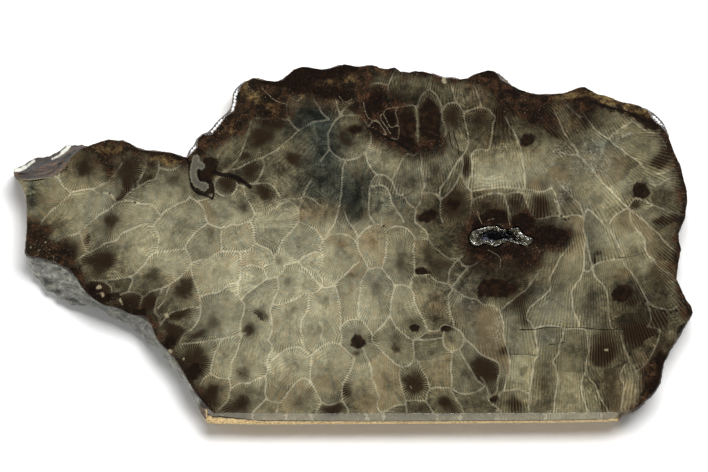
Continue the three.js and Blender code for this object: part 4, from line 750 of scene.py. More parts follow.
def linear(rgb):
    """A colour of 0 to 255 as the eye reads it, in the linear values that shaders use."""
    share = np.asarray(rgb, dtype=float) / 255
    return np.where(share < 0.04045, share / 12.92, ((share + 0.055) / 1.055) ** 2.4)


def smooth_step(value, low, high):
    t = np.clip((value - low) / (high - low), 0, 1)
    return t * t * (3 - 2 * t)


def spline(points, spacing):
    """Evenly spaced points on a smooth curve through the given ones."""
    points = np.asarray(points, dtype=float)
    closed = len(points) > 3 and np.allclose(points[0], points[-1])
    before = points[-2] if closed else 2 * points[0] - points[1]
    after = points[1] if closed else 2 * points[-1] - points[-2]
    padded = np.vstack([before, points, after])
    fine = []
    for a, b, c, d in zip(padded, padded[1:], padded[2:], padded[3:]):
        for t in np.linspace(0, 1, CURVE_PARTS, endpoint=False):
            fine.append(b + 0.5 * t * (c - a + t * (2 * a - 5 * b + 4 * c - d + t * (3 * (b - c) + d - a))))
    fine = np.array(fine + [points[-1]])
    travelled = np.concatenate([[0], np.cumsum(np.linalg.norm(np.diff(fine, axis=0), axis=1))])
    count = max(2, round(travelled[-1] / spacing) + 1)
    at = np.linspace(0, travelled[-1], count)
    return np.column_stack([np.interp(at, travelled, fine[:, 0]), np.interp(at, travelled, fine[:, 1])])


def plotted_line(chain, spacing):
    return spline([plot(x, y) for x, y in chain], spacing)


def plotted(places):
    return np.array([plot(x, y) for x, y in places])


def wander(points, amount, scale):
    """The points moved by a smooth noise that depends on their place alone."""
    moved = points.copy()
    for i, (x, y) in enumerate(points):
        drift = noise.noise_vector(Vector((x * scale, y * scale, 3.7)))
        moved[i] += (drift.x * amount, drift.y * amount)
    return moved


def inside(points, outline):
    """Which of the points lie inside a closed outline."""
    x, y = points[:, 0], points[:, 1]
    odd = np.zeros(len(points), dtype=bool)
    for (x0, y0), (x1, y1) in zip(outline, np.roll(outline, -1, axis=0)):
        if y0 == y1:
            continue
        odd ^= ((y0 > y) != (y1 > y)) & (x < (x1 - x0) * (y - y0) / (y1 - y0) + x0)
    return odd


def within(points, outlines):
    """Which of the points lie inside the first outline and outside all the others."""
    keep = inside(points, outlines[0])
    for outline in outlines[1:]:
        keep &= ~inside(points, outline)
    return keep


def distances(points, targets):
    """How far each point is from the nearest of the targets, and which one that is."""
    padding = (0,) * (3 - len(targets[0]))
    tree = kdtree.KDTree(len(targets))
    for i, target in enumerate(targets):
        tree.insert(tuple(target) + padding, i)
    tree.balance()
    found = [tree.find(tuple(point) + padding) for point in points]
    return np.array([hit[2] for hit in found]), np.array([hit[1] for hit in found])


def marked(count, numbers):
    """A flag for each of some things, set for those with the given numbers."""
    flags = np.zeros(count, dtype=bool)
    flags[numbers] = True
    return flags


# ---------------------------------------------------------------- the slab's faces, divided finely

ROW_STEP = 0.866  # distance between a grid's rows, as a share of its spacing
JITTER = 0.14  # how far a grid's point is moved at random, as a share of its spacing
RIM_GAP = 0.5  # least distance from the rim to a chain's point, as a share of the grid's spacing
GRID_GAP = 0.55  # least distance from both to a grid's point
MERGE = 1e-5  # places closer than this become one


def node_mesh(name):
    """The points of a CAD node in millimetres, each once, and its triangles."""
    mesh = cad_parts[name].data
    points = np.empty(len(mesh.vertices) * 3)
    mesh.vertices.foreach_get("co", points)
    mesh.calc_loop_triangles()
    faces = np.empty(len(mesh.loop_triangles) * 3, dtype=int)
    mesh.loop_triangles.foreach_get("vertices", faces)
    points, where = np.unique(np.round(points.reshape(-1, 3) / MM, 3), axis=0, return_inverse=True)
    return points, where.ravel()[faces].reshape(-1, 3)


def cut_triangle(a, b, c, ab, bc, ca):
    """The triangles that one is cut into, given the middle point of each side to be cut, or -1."""
    for _ in range(3):  # turn the triangle until its cuts come first
        if ab >= 0 and (ca < 0 or bc >= 0):
            break
        a, b, c, ab, bc, ca = b, c, a, bc, ca, ab
    if ab < 0:
        return [(a, b, c)]
    if bc < 0:
        return [(a, ab, c), (ab, b, c)]
    if ca < 0:
        return [(a, ab, c), (ab, b, bc), (ab, bc, c)]
    return [(a, ab, ca), (ab, b, bc), (bc, c, ca), (ab, bc, ca)]


def refine(points, faces, longest, fine_area=None, fine=None):
    """Split every edge that is longer than allowed, in both of its triangles; one area may allow less."""
    while True:
        ends = np.sort(faces[:, [0, 1, 1, 2, 2, 0]].reshape(-1, 2), axis=1)
        edges, where = np.unique(ends, axis=0, return_inverse=True)
        lengths = np.linalg.norm(points[edges[:, 0]] - points[edges[:, 1]], axis=1)
        limit = np.full(len(edges), longest)
        if fine_area is not None:
            limit[inside(points[edges].mean(axis=1)[:, :2], fine_area)] = fine
        split = lengths > limit
        if not split.any():
            return points, faces
        middle = np.full(len(edges), -1)
        middle[split] = len(points) + np.arange(split.sum())
        points = np.vstack([points, points[edges[split]].mean(axis=1)])
        cuts = middle[where.ravel()].reshape(-1, 3)
        pieces = []
        for face, cut in zip(faces.tolist(), cuts.tolist()):
            pieces += cut_triangle(*face, *cut)
        faces = np.array(pieces)


def open_loops(faces):
    """The loops of open edges, each as a list of point numbers in the order that a cap runs."""
    sides = {(int(a), int(b)) for face in faces for a, b in zip(face, np.roll(face, -1))}
    following = {b: a for a, b in sides if (b, a) not in sides}
    loops = []
    while following:
        first, at = following.popitem()
        loop = [first]
        while at != first:
            loop.append(at)
            at = following.pop(at)
        loops.append(loop)
    return loops


def ring_edges(loops):
    """The edges round each loop, with all the loops' points numbered in one row."""
    edges = []
    for loop in loops:
        start = len(edges)
        edges += [(start + i, start + (i + 1) % len(loop)) for i in range(len(loop))]
    return edges


def chain_edges(chains, keep, first):
    """The chains' points that are kept, and the edges between neighbours, numbered from first on."""
    line = []
    edges = []
    at = 0
    for chain in chains:
        for i, point in enumerate(chain):
            if keep[at + i]:
                if i and keep[at + i - 1]:
                    edges.append((first + len(line) - 1, first + len(line)))
                line.append(point)
        at += len(chain)
    return line, edges


def loose_grid(low, high, spacing, seed):
    """Rows of evenly spaced places, each moved a little at random."""
    rows = np.arange(low[1], high[1], spacing * ROW_STEP)
    columns = np.arange(low[0], high[0], spacing)
    grid = np.array([(x + (k % 2) * spacing / 2, y) for k, y in enumerate(rows) for x in columns])
    return grid + np.random.RandomState(seed).uniform(-JITTER, JITTER, grid.shape) * spacing


def cap(points, loops, chains, spacing, seed):
    """Fill the space between loops at one height with even triangles that have the chains as edges.

    Returns all points, the cap's triangles, wound upwards, and its edges that lie on a chain.
    """
    level = points[loops[0][0], 2]
    loops = sorted(loops, key=len, reverse=True)
    outlines = [points[loop, :2] for loop in loops]
    rim = np.vstack(outlines)
    rim_edges = ring_edges(loops)

    on_chains = np.vstack(chains)
    rim_gap, _ = distances(on_chains, rim)
    keep = within(on_chains, outlines) & (rim_gap > RIM_GAP * spacing)
    line, line_edges = chain_edges(chains, keep, len(rim))

    grid = loose_grid(rim.min(axis=0), rim.max(axis=0), spacing, seed)
    grid = grid[within(grid, outlines)]
    clear, _ = distances(grid, np.vstack([rim, line]))
    flat = [*rim, *line, *grid[clear > GRID_GAP * spacing]]

    made, made_edges, triangles, origins, edge_origins, _ = geometry.delaunay_2d_cdt(
        [Vector(place) for place in flat], rim_edges + line_edges, [], 0, MERGE, True
    )
    number = [i for loop in loops for i in loop]
    numbers = []
    extra = []
    for place, origin in zip(made, origins):
        known = [number[i] for i in origin if i < len(number)]
        if known:
            numbers.append(known[0])
        else:
            numbers.append(len(points) + len(extra))
            extra.append((place.x, place.y, level))
    numbers = np.array(numbers)
    triangles = np.array(triangles)
    triangles = triangles[within(np.array(made)[triangles].mean(axis=1), outlines)]
    on_chain = [any(i >= len(rim_edges) for i in origin) for origin in edge_origins]
    walls = np.array([edge for edge, wanted in zip(made_edges, on_chain) if wanted])
    return np.vstack([points, extra]), numbers[triangles], numbers[walls]


# ---------------------------------------------------------------- the corallites

BINS = 40  # directions in which a corallite's reach is taken
LEAST_REACH = 1.2  # bounds of what is taken as a corallite's reach
MOST_REACH = 14
FEWEST_SEPTA = 12


def joined_faces(faces, barriers):
    """For each triangle the ones beside it that aren't behind a barrier."""
    blocked = {tuple(sorted(edge)) for edge in barriers.tolist()}
    owners = {}
    neighbours = [[] for _ in faces]
    for i, (a, b, c) in enumerate(faces.tolist()):
        for edge in (tuple(sorted((a, b))), tuple(sorted((b, c))), tuple(sorted((c, a)))):
            if edge in blocked:
                continue
            if edge in owners:
                neighbours[i].append(owners[edge])
                neighbours[owners[edge]].append(i)
            else:
                owners[edge] = i
    return neighbours


def grow_cells(points, faces, barriers, seeds):
    """Number each triangle by the corallite that reaches it first without crossing a wall."""
    neighbours = joined_faces(faces, barriers)
    middles = points[faces, :2].mean(axis=1)
    label = np.full(len(faces), -1)
    _, starts = distances(seeds, middles)
    queue = [(0.0, int(start), cell) for cell, start in enumerate(starts)]
    heapq.heapify(queue)
    places = middles.tolist()
    while queue:
        travelled, i, cell = heapq.heappop(queue)
        if label[i] >= 0:
            continue
        label[i] = cell
        x, y = places[i]
        for k in neighbours[i]:
            if label[k] < 0:
                heapq.heappush(queue, (travelled + math.hypot(places[k][0] - x, places[k][1] - y), k, cell))
    lost = label < 0
    if lost.any():
        _, nearest = distances(middles[lost], middles[~lost])
        label[lost] = label[~lost][nearest]
    return label


def reach_round(away):
    """How far a corallite's wall lies from its middle in each direction, a little smoothed."""
    angle = np.arctan2(away[:, 1], away[:, 0])
    reach = np.zeros(BINS)
    np.maximum.at(reach, ((angle + math.pi) / (2 * math.pi) * BINS).astype(int) % BINS, np.hypot(*away.T))
    known = reach > 0
    ring = np.arange(BINS)
    reach = np.clip(np.interp(ring, ring[known], reach[known], period=BINS), LEAST_REACH, MOST_REACH)
    for _ in range(3):
        reach = (np.roll(reach, 1) + 2 * reach + np.roll(reach, -1)) / 4
    return reach


def even_septa(angle, reach):
    """Directions eased so that septa are evenly spaced along the wall, and how many there are."""
    travelled = np.concatenate([[0], np.cumsum(reach)]) * (2 * math.pi / BINS)
    turn = np.interp(angle, np.linspace(-math.pi, math.pi, BINS + 1), travelled)
    turn = turn / travelled[-1] * 2 * math.pi
    return turn, max(FEWEST_SEPTA, round(travelled[-1] / SEPTUM_SPACING))


def fanned_septa(away):
    """Directions away from a far point, and how many septa would stand all round it."""
    turn = np.arctan2(away[..., 1], away[..., 0])
    return turn, round(2 * math.pi * np.hypot(away[..., 0], away[..., 1]).mean() / SEPTUM_SPACING)


def triple(a, b, c):
    return np.stack(np.broadcast_arrays(a, b, c), axis=-1)


def septa(points, faces, label, seeds):
    """For each corner of each triangle two vectors that say where it lies in its corallite.

    The first has the direction of its septum and the number of septa. The second has two random numbers of
    the corallite's own, and how far out the corner lies from the middle, which is 0, to the wall, about 1.
    """
    random = np.random.RandomState(7).uniform(size=(len(seeds), 2))
    corners = points[faces, :2]
    middles = corners.mean(axis=1)
    rays = np.zeros((len(faces), 3, 3))
    places = np.zeros((len(faces), 3, 3))
    for cell, seed in enumerate(seeds):
        mine = np.flatnonzero(label == cell)
        if not len(mine):
            continue
        reach = reach_round(middles[mine] - seed)
        away = corners[mine] - seed
        angle = np.arctan2(away[..., 1], away[..., 0])
        if CALICES[cell] in FANS:
            turn, count = fanned_septa(corners[mine] - plot(*FANS[CALICES[cell]]))
        else:
            turn, count = even_septa(angle, reach)
        rays[mine] = triple(np.cos(turn), np.sin(turn), count / COUNT_UNIT)
        ring = (angle + math.pi) / (2 * math.pi) * BINS - 0.5
        out = np.hypot(away[..., 0], away[..., 1]) / np.interp(ring, np.arange(BINS), reach, period=BINS)
        places[mine] = triple(*random[cell], out)
    return rays, places


# ---------------------------------------------------------------- colour laid down in patches

# As the eye reads them, 0 to 255.
COLOURS = {
    "base": (146, 135, 106),
    "pale": (178, 170, 141),
    "olive": (120, 110, 80),
    "grey": (112, 112, 98),
    "slate": (46, 52, 47),
    "brown": (84, 66, 46),
    "orange": (122, 92, 56),
    "gloom": (62, 54, 38),
    "umber": (46, 34, 22),
}
PATCH_SOFTNESS = {
    "pale": 4, "olive": 4, "gloom": 3.5, "grey": 4, "slate": 4.5, "brown": 4.5, "orange": 4.5, "umber": 4,
}
DARK_SOFTNESS = 4.0
HALO_SOFTNESS = 3
HALO_GROWTH = 1.5  # the brown halo of a dark middle is this many times its size,
HALO_REACH = 3  # and this many pixels more
HALO_SHARE = 0.4
LIGHT_LEVEL = 1.22  # how brightly the studio lights the stone, which its colours are read against
FARTHEST = 700  # keeps the exponent of a place that is far from a patch within what a number can hold


def patch_distance(at, x, y, half_width, half_height, turn):
    """Distance from a patch's middle as a share of its half size, in the patch's own turned frame."""
    middle = plot(x, y)
    across, up = at[:, 0] - middle[0], at[:, 1] - middle[1]
    cosine = math.cos(math.radians(turn))
    sine = math.sin(math.radians(turn))
    u = (across * cosine + up * sine) / (half_width * STEP)
    v = (up * cosine - across * sine) / (half_height * STEP)
    return np.hypot(u, v)


def soft_share(far, softness, strength):
    """A patch's share at each place: its strength well inside, half of it on the outline, 0 far outside."""
    return strength / (1 + np.exp(np.minimum((far - 1) * softness, FARTHEST)))


def strayed(at):
    """The places moved about by smooth noise, so that a patch drawn as an ellipse gets a natural outline."""
    coarse = wander(at, 1.1, 0.22)
    return wander(coarse, 0.6, 0.8)


def tint(at):
    """The stone's colour at each place, before walls, septa, dark patches and grain."""
    at = strayed(at)
    colour = np.tile(linear(COLOURS["base"]), (len(at), 1))

    def lay(name, share):
        return colour + (linear(COLOURS[name]) - colour) * share[:, None]

    for name, softness in PATCH_SOFTNESS.items():
        for *patch, strength in PATCHES[name]:
            colour = lay(name, soft_share(patch_distance(at, *patch), softness, strength))
    for x, y, half_width, half_height, turn, strength in PATCHES["dark"] + PATCHES["pit"]:
        halo = (HALO_GROWTH * half_width + HALO_REACH, HALO_GROWTH * half_height + HALO_REACH)
        far = patch_distance(at, x, y, *halo, turn)
        colour = lay("gloom", soft_share(far, HALO_SOFTNESS, HALO_SHARE * strength))
    return colour / LIGHT_LEVEL


def patch_owners(places, label):
    """Which corallite each dark patch belongs to, by the patch's middle."""
    patches = PATCHES["dark"] + PATCHES["pit"]
    _, nearest = distances(plotted([patch[:2] for patch in patches]), places)
    return {patch[:2]: label[i] for patch, i in zip(patches, nearest)}


def darkness(at, cell, owners):
    """The dark middles: each patch stays within its own corallite."""
    clear = np.ones(len(at))
    for x, y, half_width, half_height, turn, strength in PATCHES["dark"]:
        mine = np.flatnonzero(cell == owners[x, y])
        far = patch_distance(at[mine], x, y, half_width + 1, half_height + 1, turn)
        clear[mine] *= 1 - soft_share(far, DARK_SOFTNESS, strength)
    return 1 - clear


def pit_depth(at, cell, owners):
    """How far inside a hard-edged dark patch each place lies, in millimetres, and below 0 outside."""
    depth = np.full(len(at), OUTSIDE)
    for x, y, half_width, half_height, turn, _ in PATCHES["pit"]:
        mine = np.flatnonzero(cell == owners[x, y])
        far = patch_distance(at[mine], x, y, half_width, half_height, turn)
        depth[mine] = np.maximum(depth[mine], (1 - far) * min(half_width, half_height) * STEP)
    return depth


def blend_of(name, at, softness):
    """The share of all the patches of one name together."""
    clear = np.ones(len(at))
    for *patch, strength in PATCHES[name]:
        clear *= 1 - soft_share(patch_distance(at, *patch), softness, strength)
    return 1 - clear


def dots(at, marks):
    """How far inside a round mark each place lies, in millimetres, and below 0 outside."""
    depth = np.full(len(at), -1.0)
    for x, y, radius in marks:
        depth = np.maximum(depth, (1 - patch_distance(at, x, y, radius, radius, 0)) * radius * STEP)
    return depth


def line_depth(at, here, lines):
    """How far inside the nearest of some lines the places here lie, in millimetres; the rest are outside."""
    depth = np.full(len(at), OUTSIDE)
    for half_width, chain in lines:
        far, _ = distances(at[here], plotted_line(chain, 0.1))
        depth[here] = np.maximum(depth[here], half_width - far)
    return depth


def flecks(at):
    """The share of clear calcite with its fine flecks."""
    share = np.zeros(len(at))
    for x, y, half_width, half_height in FLECKED:
        share = np.maximum(share, smooth_step(patch_distance(at, x, y, half_width, half_height, 0), 1.3, 0.4))
    return share


def crust_depth(at):
    """How far inside the brown crust each place lies, in millimetres, and below 0 outside."""
    depth = np.full(len(at), 2 * OUTSIDE)
    for outline in CRUSTS.values():
        line = plotted_line(outline + outline[:1], 0.5)
        far, _ = distances(at, line)
        depth = np.maximum(depth, np.where(inside(at, line), far, -far))
    return depth


# ---------------------------------------------------------------- the slab

# What the side is like, as outlines round the parts of the rim, in pixels.
RIND = [
    (18, 254), (30, 258), (47, 261), (62, 267), (75, 277), (84, 290), (95, 300), (110, 306), (125, 312),
    (140, 317), (151, 325), (157, 340), (172, 357), (190, 385), (200, 400), (196, 420), (150, 365),
    (100, 335), (40, 315), (10, 275),
]
SAWN_EDGE = [(206, 410), (300, 411), (500, 410.5), (618, 410), (624, 440), (206, 440)]
FACETS = [
    [
        (183, 165), (186, 140), (205, 120), (222, 108), (226, 84), (246, 78), (248, 92), (240, 112),
        (228, 130), (216, 146), (196, 166),
    ],
    [(432, 72), (460, 72), (458, 88), (434, 88)],
    [(642, 100), (676, 112), (676, 140), (646, 122)],
]
LAYERED = [
    (5, 160), (30, 150), (62, 138), (76, 138), (84, 146), (72, 160), (54, 178), (38, 182), (22, 184),
    (5, 184),
]
# where the hollow's walls get painted shade
HOLLOW = [(462, 222), (500, 218), (540, 222), (540, 252), (500, 252), (462, 252)]

LEVEL = 0.001  # how far from a face's height a point may lie and still be in it
FACET_DEPTH = 3  # the glossy facets end this far below the face
RELAX_ROUNDS = 4
FULL_RELIEF = 0.9  # the relief fades out over this height above the back and below the face
MOST_OUTWARDS = 0.1
RIND_TURN = (0.82, 0.57)  # cosine and sine of the direction that the rind's ridges run in

BEVEL_DEPTH = 2.6  # where the sawn edge's bevel ends and its upright strip starts
STRIP_DROP = 1.9  # height over which the strip runs out to its full width
COLUMN = 3.0  # width of the pieces that the strip is worked out in


def in_outlines(at, outlines):
    """Which places lie inside any of some outlines given in pixels."""
    found = np.zeros(len(at), dtype=bool)
    for outline in outlines:
        found |= inside(at, plotted(outline))
    return found


def point_normals(points, faces):
    a, b, c = points[faces[:, 0]], points[faces[:, 1]], points[faces[:, 2]]
    across = np.cross(b - a, c - a)
    normals = np.zeros_like(points)
    for k in range(3):
        np.add.at(normals, faces[:, k], across)
    return normals / np.maximum(np.linalg.norm(normals, axis=1), TINY)[:, None]


def relax(points, faces, free):
    """Ease each free point towards the middle of its neighbours."""
    ends = np.unique(np.sort(faces[:, [0, 1, 1, 2, 2, 0]].reshape(-1, 2), axis=1), axis=0)
    both = np.vstack([ends, ends[:, ::-1]])
    count = np.bincount(both[:, 0], minlength=len(points))[:, None]
    for _ in range(RELAX_ROUNDS):
        total = np.zeros_like(points)
        np.add.at(total, both[:, 0], points[both[:, 1]])
        middle = total / np.maximum(count, 1)
        points = np.where(free[:, None], points + 0.5 * (middle - points), points)
    return points


def fill_strip(points, sawn):
    """Let the upright part of the sawn edge run out to its full width just under the bevel."""
    mine = np.flatnonzero(sawn & (points[:, 2] < THICKNESS - LEVEL) & (points[:, 2] > LEVEL))
    column = np.round(points[mine, 0] / COLUMN).astype(int)
    for k in np.unique(column):
        here = mine[column == k]
        depth = THICKNESS - points[here, 2]
        edge = points[here[np.abs(depth - BEVEL_DEPTH) < 0.5], 1]
        if not len(edge):
            continue
        outer = points[here, 1].min()
        share = np.clip((depth - BEVEL_DEPTH) / STRIP_DROP, 0, 1) ** 0.8
        full = edge.mean() + (outer - edge.mean()) * share
        points[here, 1] = np.where(depth > BEVEL_DEPTH, np.minimum(points[here, 1], full), points[here, 1])
    return points


def fractal(place, scale, octaves):
    return noise.fractal(Vector(place) * scale, 1.0, 2.1, octaves, noise_basis="PERLIN_ORIGINAL")


def ridges(place, scale):
    return 1 - abs(noise.noise(Vector(place) * scale)) * 2.4


def rind_relief(place):
    """Ridges that run down the rind, with lumps and grit on them."""
    x, y, z = place
    cosine, sine = RIND_TURN
    turned = (x * cosine + y * sine, (y * cosine - x * sine) * 2.0, z)
    return 0.55 * (1 - ridges(turned, 0.16)) + 0.28 * fractal(place, 0.55, 4) + 0.1 * fractal(place, 2.2, 2)


def sawn_relief(place):
    return 0.03 * fractal(place, 0.8, 3)


def facet_relief(place):
    return 0.02 * fractal(place, 0.35, 2)


def broken_relief(place):
    return 0.3 + 0.42 * fractal(place, 0.33, 4) + 0.14 * fractal(place, 1.5, 3)


def roughen(points, faces, rind, sawn, smooth):
    """Give the sides their lumps, pits and ridges, cut into the slab's solid form and kept in its box."""
    normals = point_normals(points, faces)
    fade = smooth_step(np.minimum(THICKNESS - points[:, 2], points[:, 2] * 0.6), 0.0, FULL_RELIEF)
    for i in np.flatnonzero(fade > 0):
        relief = broken_relief
        for kind, other in ((smooth, facet_relief), (sawn, sawn_relief), (rind, rind_relief)):
            if kind[i]:
                relief = other
        points[i] -= normals[i] * max(-MOST_OUTWARDS, relief(tuple(points[i]))) * fade[i]
    low, high = np.array(CAD_BOX) / MM
    return np.clip(points, low, high)


def broken_sides():
    """The slab's sides, divided finely and broken up: all points, the sides' triangles and open loops."""
    points, faces = node_mesh("slab")
    heights = points[faces, 2]
    flat = (heights.min(axis=1) > THICKNESS - LEVEL) | (heights.max(axis=1) < LEVEL)
    points, sides = refine(points, faces[~flat], SIDE_EDGE, plotted(LAYERED), FINE_EDGE)
    loops = open_loops(sides)
    used = marked(len(points), sides)
    held = marked(len(points), [i for loop in loops for i in loop])
    rind = in_outlines(points[:, :2], [RIND])
    sawn = in_outlines(points[:, :2], [SAWN_EDGE])
    smooth = in_outlines(points[:, :2], FACETS) & (points[:, 2] > THICKNESS - FACET_DEPTH)
    points = relax(points, sides, used & ~held & ~smooth & ~sawn)
    points = fill_strip(points, sawn & used)
    return roughen(points, sides, rind, sawn, smooth), sides, loops


def wall_chains(spacing, lean):
    """The walls' points, strayed a little from their plotted lines and shifted by the lean."""
    chains = []
    for chain in WALLS:
        line = wander(plotted_line(chain, spacing), WALL_WANDER, 0.55)
        chains.append(wander(line, WALL_WANDER * 0.5, 1.6) + lean)
    return chains


def two_faces(points, loops):
    """The polished face and the sawn back: all points, and each one's triangles and wall edges."""
    above = [loop for loop in loops if points[loop[0], 2] > THICKNESS / 2]
    below = [loop for loop in loops if points[loop[0], 2] < THICKNESS / 2]
    cracks = [plotted_line(chain, 0.4) for chain in [chain for _, chain in CRACKS] + SEAMS_AND_GLINT]
    points, top, top_walls = cap(points, above, wall_chains(0.5, (0, 0)) + cracks, FACE_GRID, 1)
    points, back, back_walls = cap(points, below, wall_chains(1.0, WALL_LEAN), BACK_GRID, 2)
    return points, (top, top_walls), (back[:, ::-1], back_walls)


def wall_distance(points, is_top, is_back, sides, side_label):
    """Distance to the walls: their lines on the two faces, and the change of corallite on the sides."""
    at = points[:, :2]
    wall = np.zeros(len(points))
    wall[is_top], _ = distances(at[is_top], np.vstack(wall_chains(0.12, (0, 0))))
    wall[is_back], _ = distances(at[is_back], np.vstack(wall_chains(0.25, WALL_LEAN)))
    lowest = np.full(len(points), 10**6)
    highest = np.full(len(points), -1)
    np.minimum.at(lowest, sides, side_label[:, None])
    np.maximum.at(highest, sides, side_label[:, None])
    side_only = ~is_top & ~is_back
    wall[side_only], _ = distances(points[side_only], points[highest > lowest])
    return wall


def stacked(fields, values):
    """The attributes, each with the values of its fields side by side."""
    return {name: np.column_stack([values[part] for part in parts]) for name, parts in fields.items()}


def point_attributes(points, is_top, is_back, wall, stray):
    """What colours the stone at each point."""
    at = points[:, :2]
    side_only = ~is_top & ~is_back
    side = side_only.astype(float)
    seam_and_glint = line_depth(at, is_top, [(0.1, chain) for chain in SEAMS_AND_GLINT])
    values = {
        "wall": wall,
        "groove": np.maximum(line_depth(at, is_top, CRACKS), dots(at, DOTS)),
        "crust": crust_depth(at),
        "rind": side * in_outlines(at, [RIND]),
        "sawn": side * in_outlines(at, [SAWN_EDGE]),
        "back": is_back,
        "fleck": flecks(at),
        "dot": np.maximum(seam_and_glint, dots(stray, PALE_DOTS_AND_GLINTS)),
        "ochre": blend_of("ochre", stray, 5),
        "side": side,
        "facet": side * in_outlines(at, FACETS),
        "depth": THICKNESS - points[:, 2],
        "layered": side * in_outlines(at, [LAYERED]),
        "hollow": side * in_outlines(at, [HOLLOW]),
        "streak": line_depth(at, side_only, STREAK_HIGHLIGHTS),
        "worm": line_depth(at, is_top, WORM),
        "deep": blend_of("deep", wander(at, 0.5, 0.5), 5),
        "shadow": line_depth(at, side_only, LAYER_SHADOWS),
    }
    return {"tint": tint(at), **stacked(POINT_FIELDS, values)}


def slab_surface():
    """All the points and triangles of the slab, with the attributes that its stone is coloured by."""
    points, sides, loops = broken_sides()
    points, (top, top_walls), (back, back_walls) = two_faces(points, loops)
    faces = np.vstack([top, back, sides])

    seeds = plotted(CALICES)
    top_middles = points[top, :2].mean(axis=1)
    top_label = grow_cells(points, top, top_walls, seeds)
    back_label = grow_cells(points, back, back_walls, seeds + WALL_LEAN)
    _, nearest = distances(points[sides, :2].mean(axis=1), top_middles)
    side_label = top_label[nearest]
    owners = patch_owners(top_middles, top_label)

    at = points[:, :2]
    stray = strayed(at)
    regions = (
        (top, top_label, seeds, stray),
        (back, back_label, seeds + WALL_LEAN, strayed(at - WALL_LEAN)),
        (sides, side_label, seeds, stray),
    )
    corners = {name: [] for name in CORNER_FIELDS}
    for triangles, label, middles, places in regions:
        rays, spots = septa(points, triangles, label, middles)
        corner_at = places[triangles].reshape(-1, 2)
        cell = np.repeat(label, 3)
        dark = darkness(corner_at, cell, owners)
        corners["stain"].append(triple(dark, pit_depth(corner_at, cell, owners), 0))
        corners["septa"].append(rays.reshape(-1, 3))
        corners["corallite"].append(spots.reshape(-1, 3))
    corners = {name: np.vstack(pieces) for name, pieces in corners.items()}

    is_top = marked(len(points), top)
    is_back = marked(len(points), back)
    wall = wall_distance(points, is_top, is_back, sides, side_label)
    return points, faces, corners, point_attributes(points, is_top, is_back, wall, stray)


def build_mesh(name, points, faces):
    mesh = bpy.data.meshes.new(name)
    mesh.vertices.add(len(points))
    mesh.vertices.foreach_set("co", (points * MM).ravel())
    mesh.loops.add(len(faces) * 3)
    mesh.loops.foreach_set("vertex_index", faces.ravel())
    mesh.polygons.add(len(faces))
    mesh.polygons.foreach_set("loop_start", np.arange(len(faces)) * 3)
    mesh.update(calc_edges=True)
    mesh.validate()
    return mesh


def add_object(name, data):
    made = bpy.data.objects.new(name, data)
    bpy.context.scene.collection.objects.link(made)
    return made


def drop_unused(points, faces, attributes):
    """The same mesh without the points that no triangle uses."""
    used = np.unique(faces)
    number = np.full(len(points), -1)
    number[used] = np.arange(len(used))
    return points[used], number[faces], {key: value[used] for key, value in attributes.items()}


def add_attributes(mesh, attributes, domain):
    for key, values in attributes.items():
        made = mesh.attributes.new(key, "FLOAT_VECTOR", domain)
        made.data.foreach_set("vector", values.astype(float).ravel())


def make_slab():
    points, faces, corners, attributes = slab_surface()
    points, faces, attributes = drop_unused(points, faces, attributes)
    mesh = build_mesh("petoskey_slab", points, faces)
    add_attributes(mesh, attributes, "POINT")
    add_attributes(mesh, corners, "CORNER")
    side = attributes["surface"][:, 0] > 0
    mesh.polygons.foreach_set("use_smooth", side[faces].any(axis=1))
    slab = add_object("petoskey_slab", mesh)
    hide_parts("slab")
    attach(slab, "root")
    mesh.materials.append(stone())


# ---------------------------------------------------------------- materials

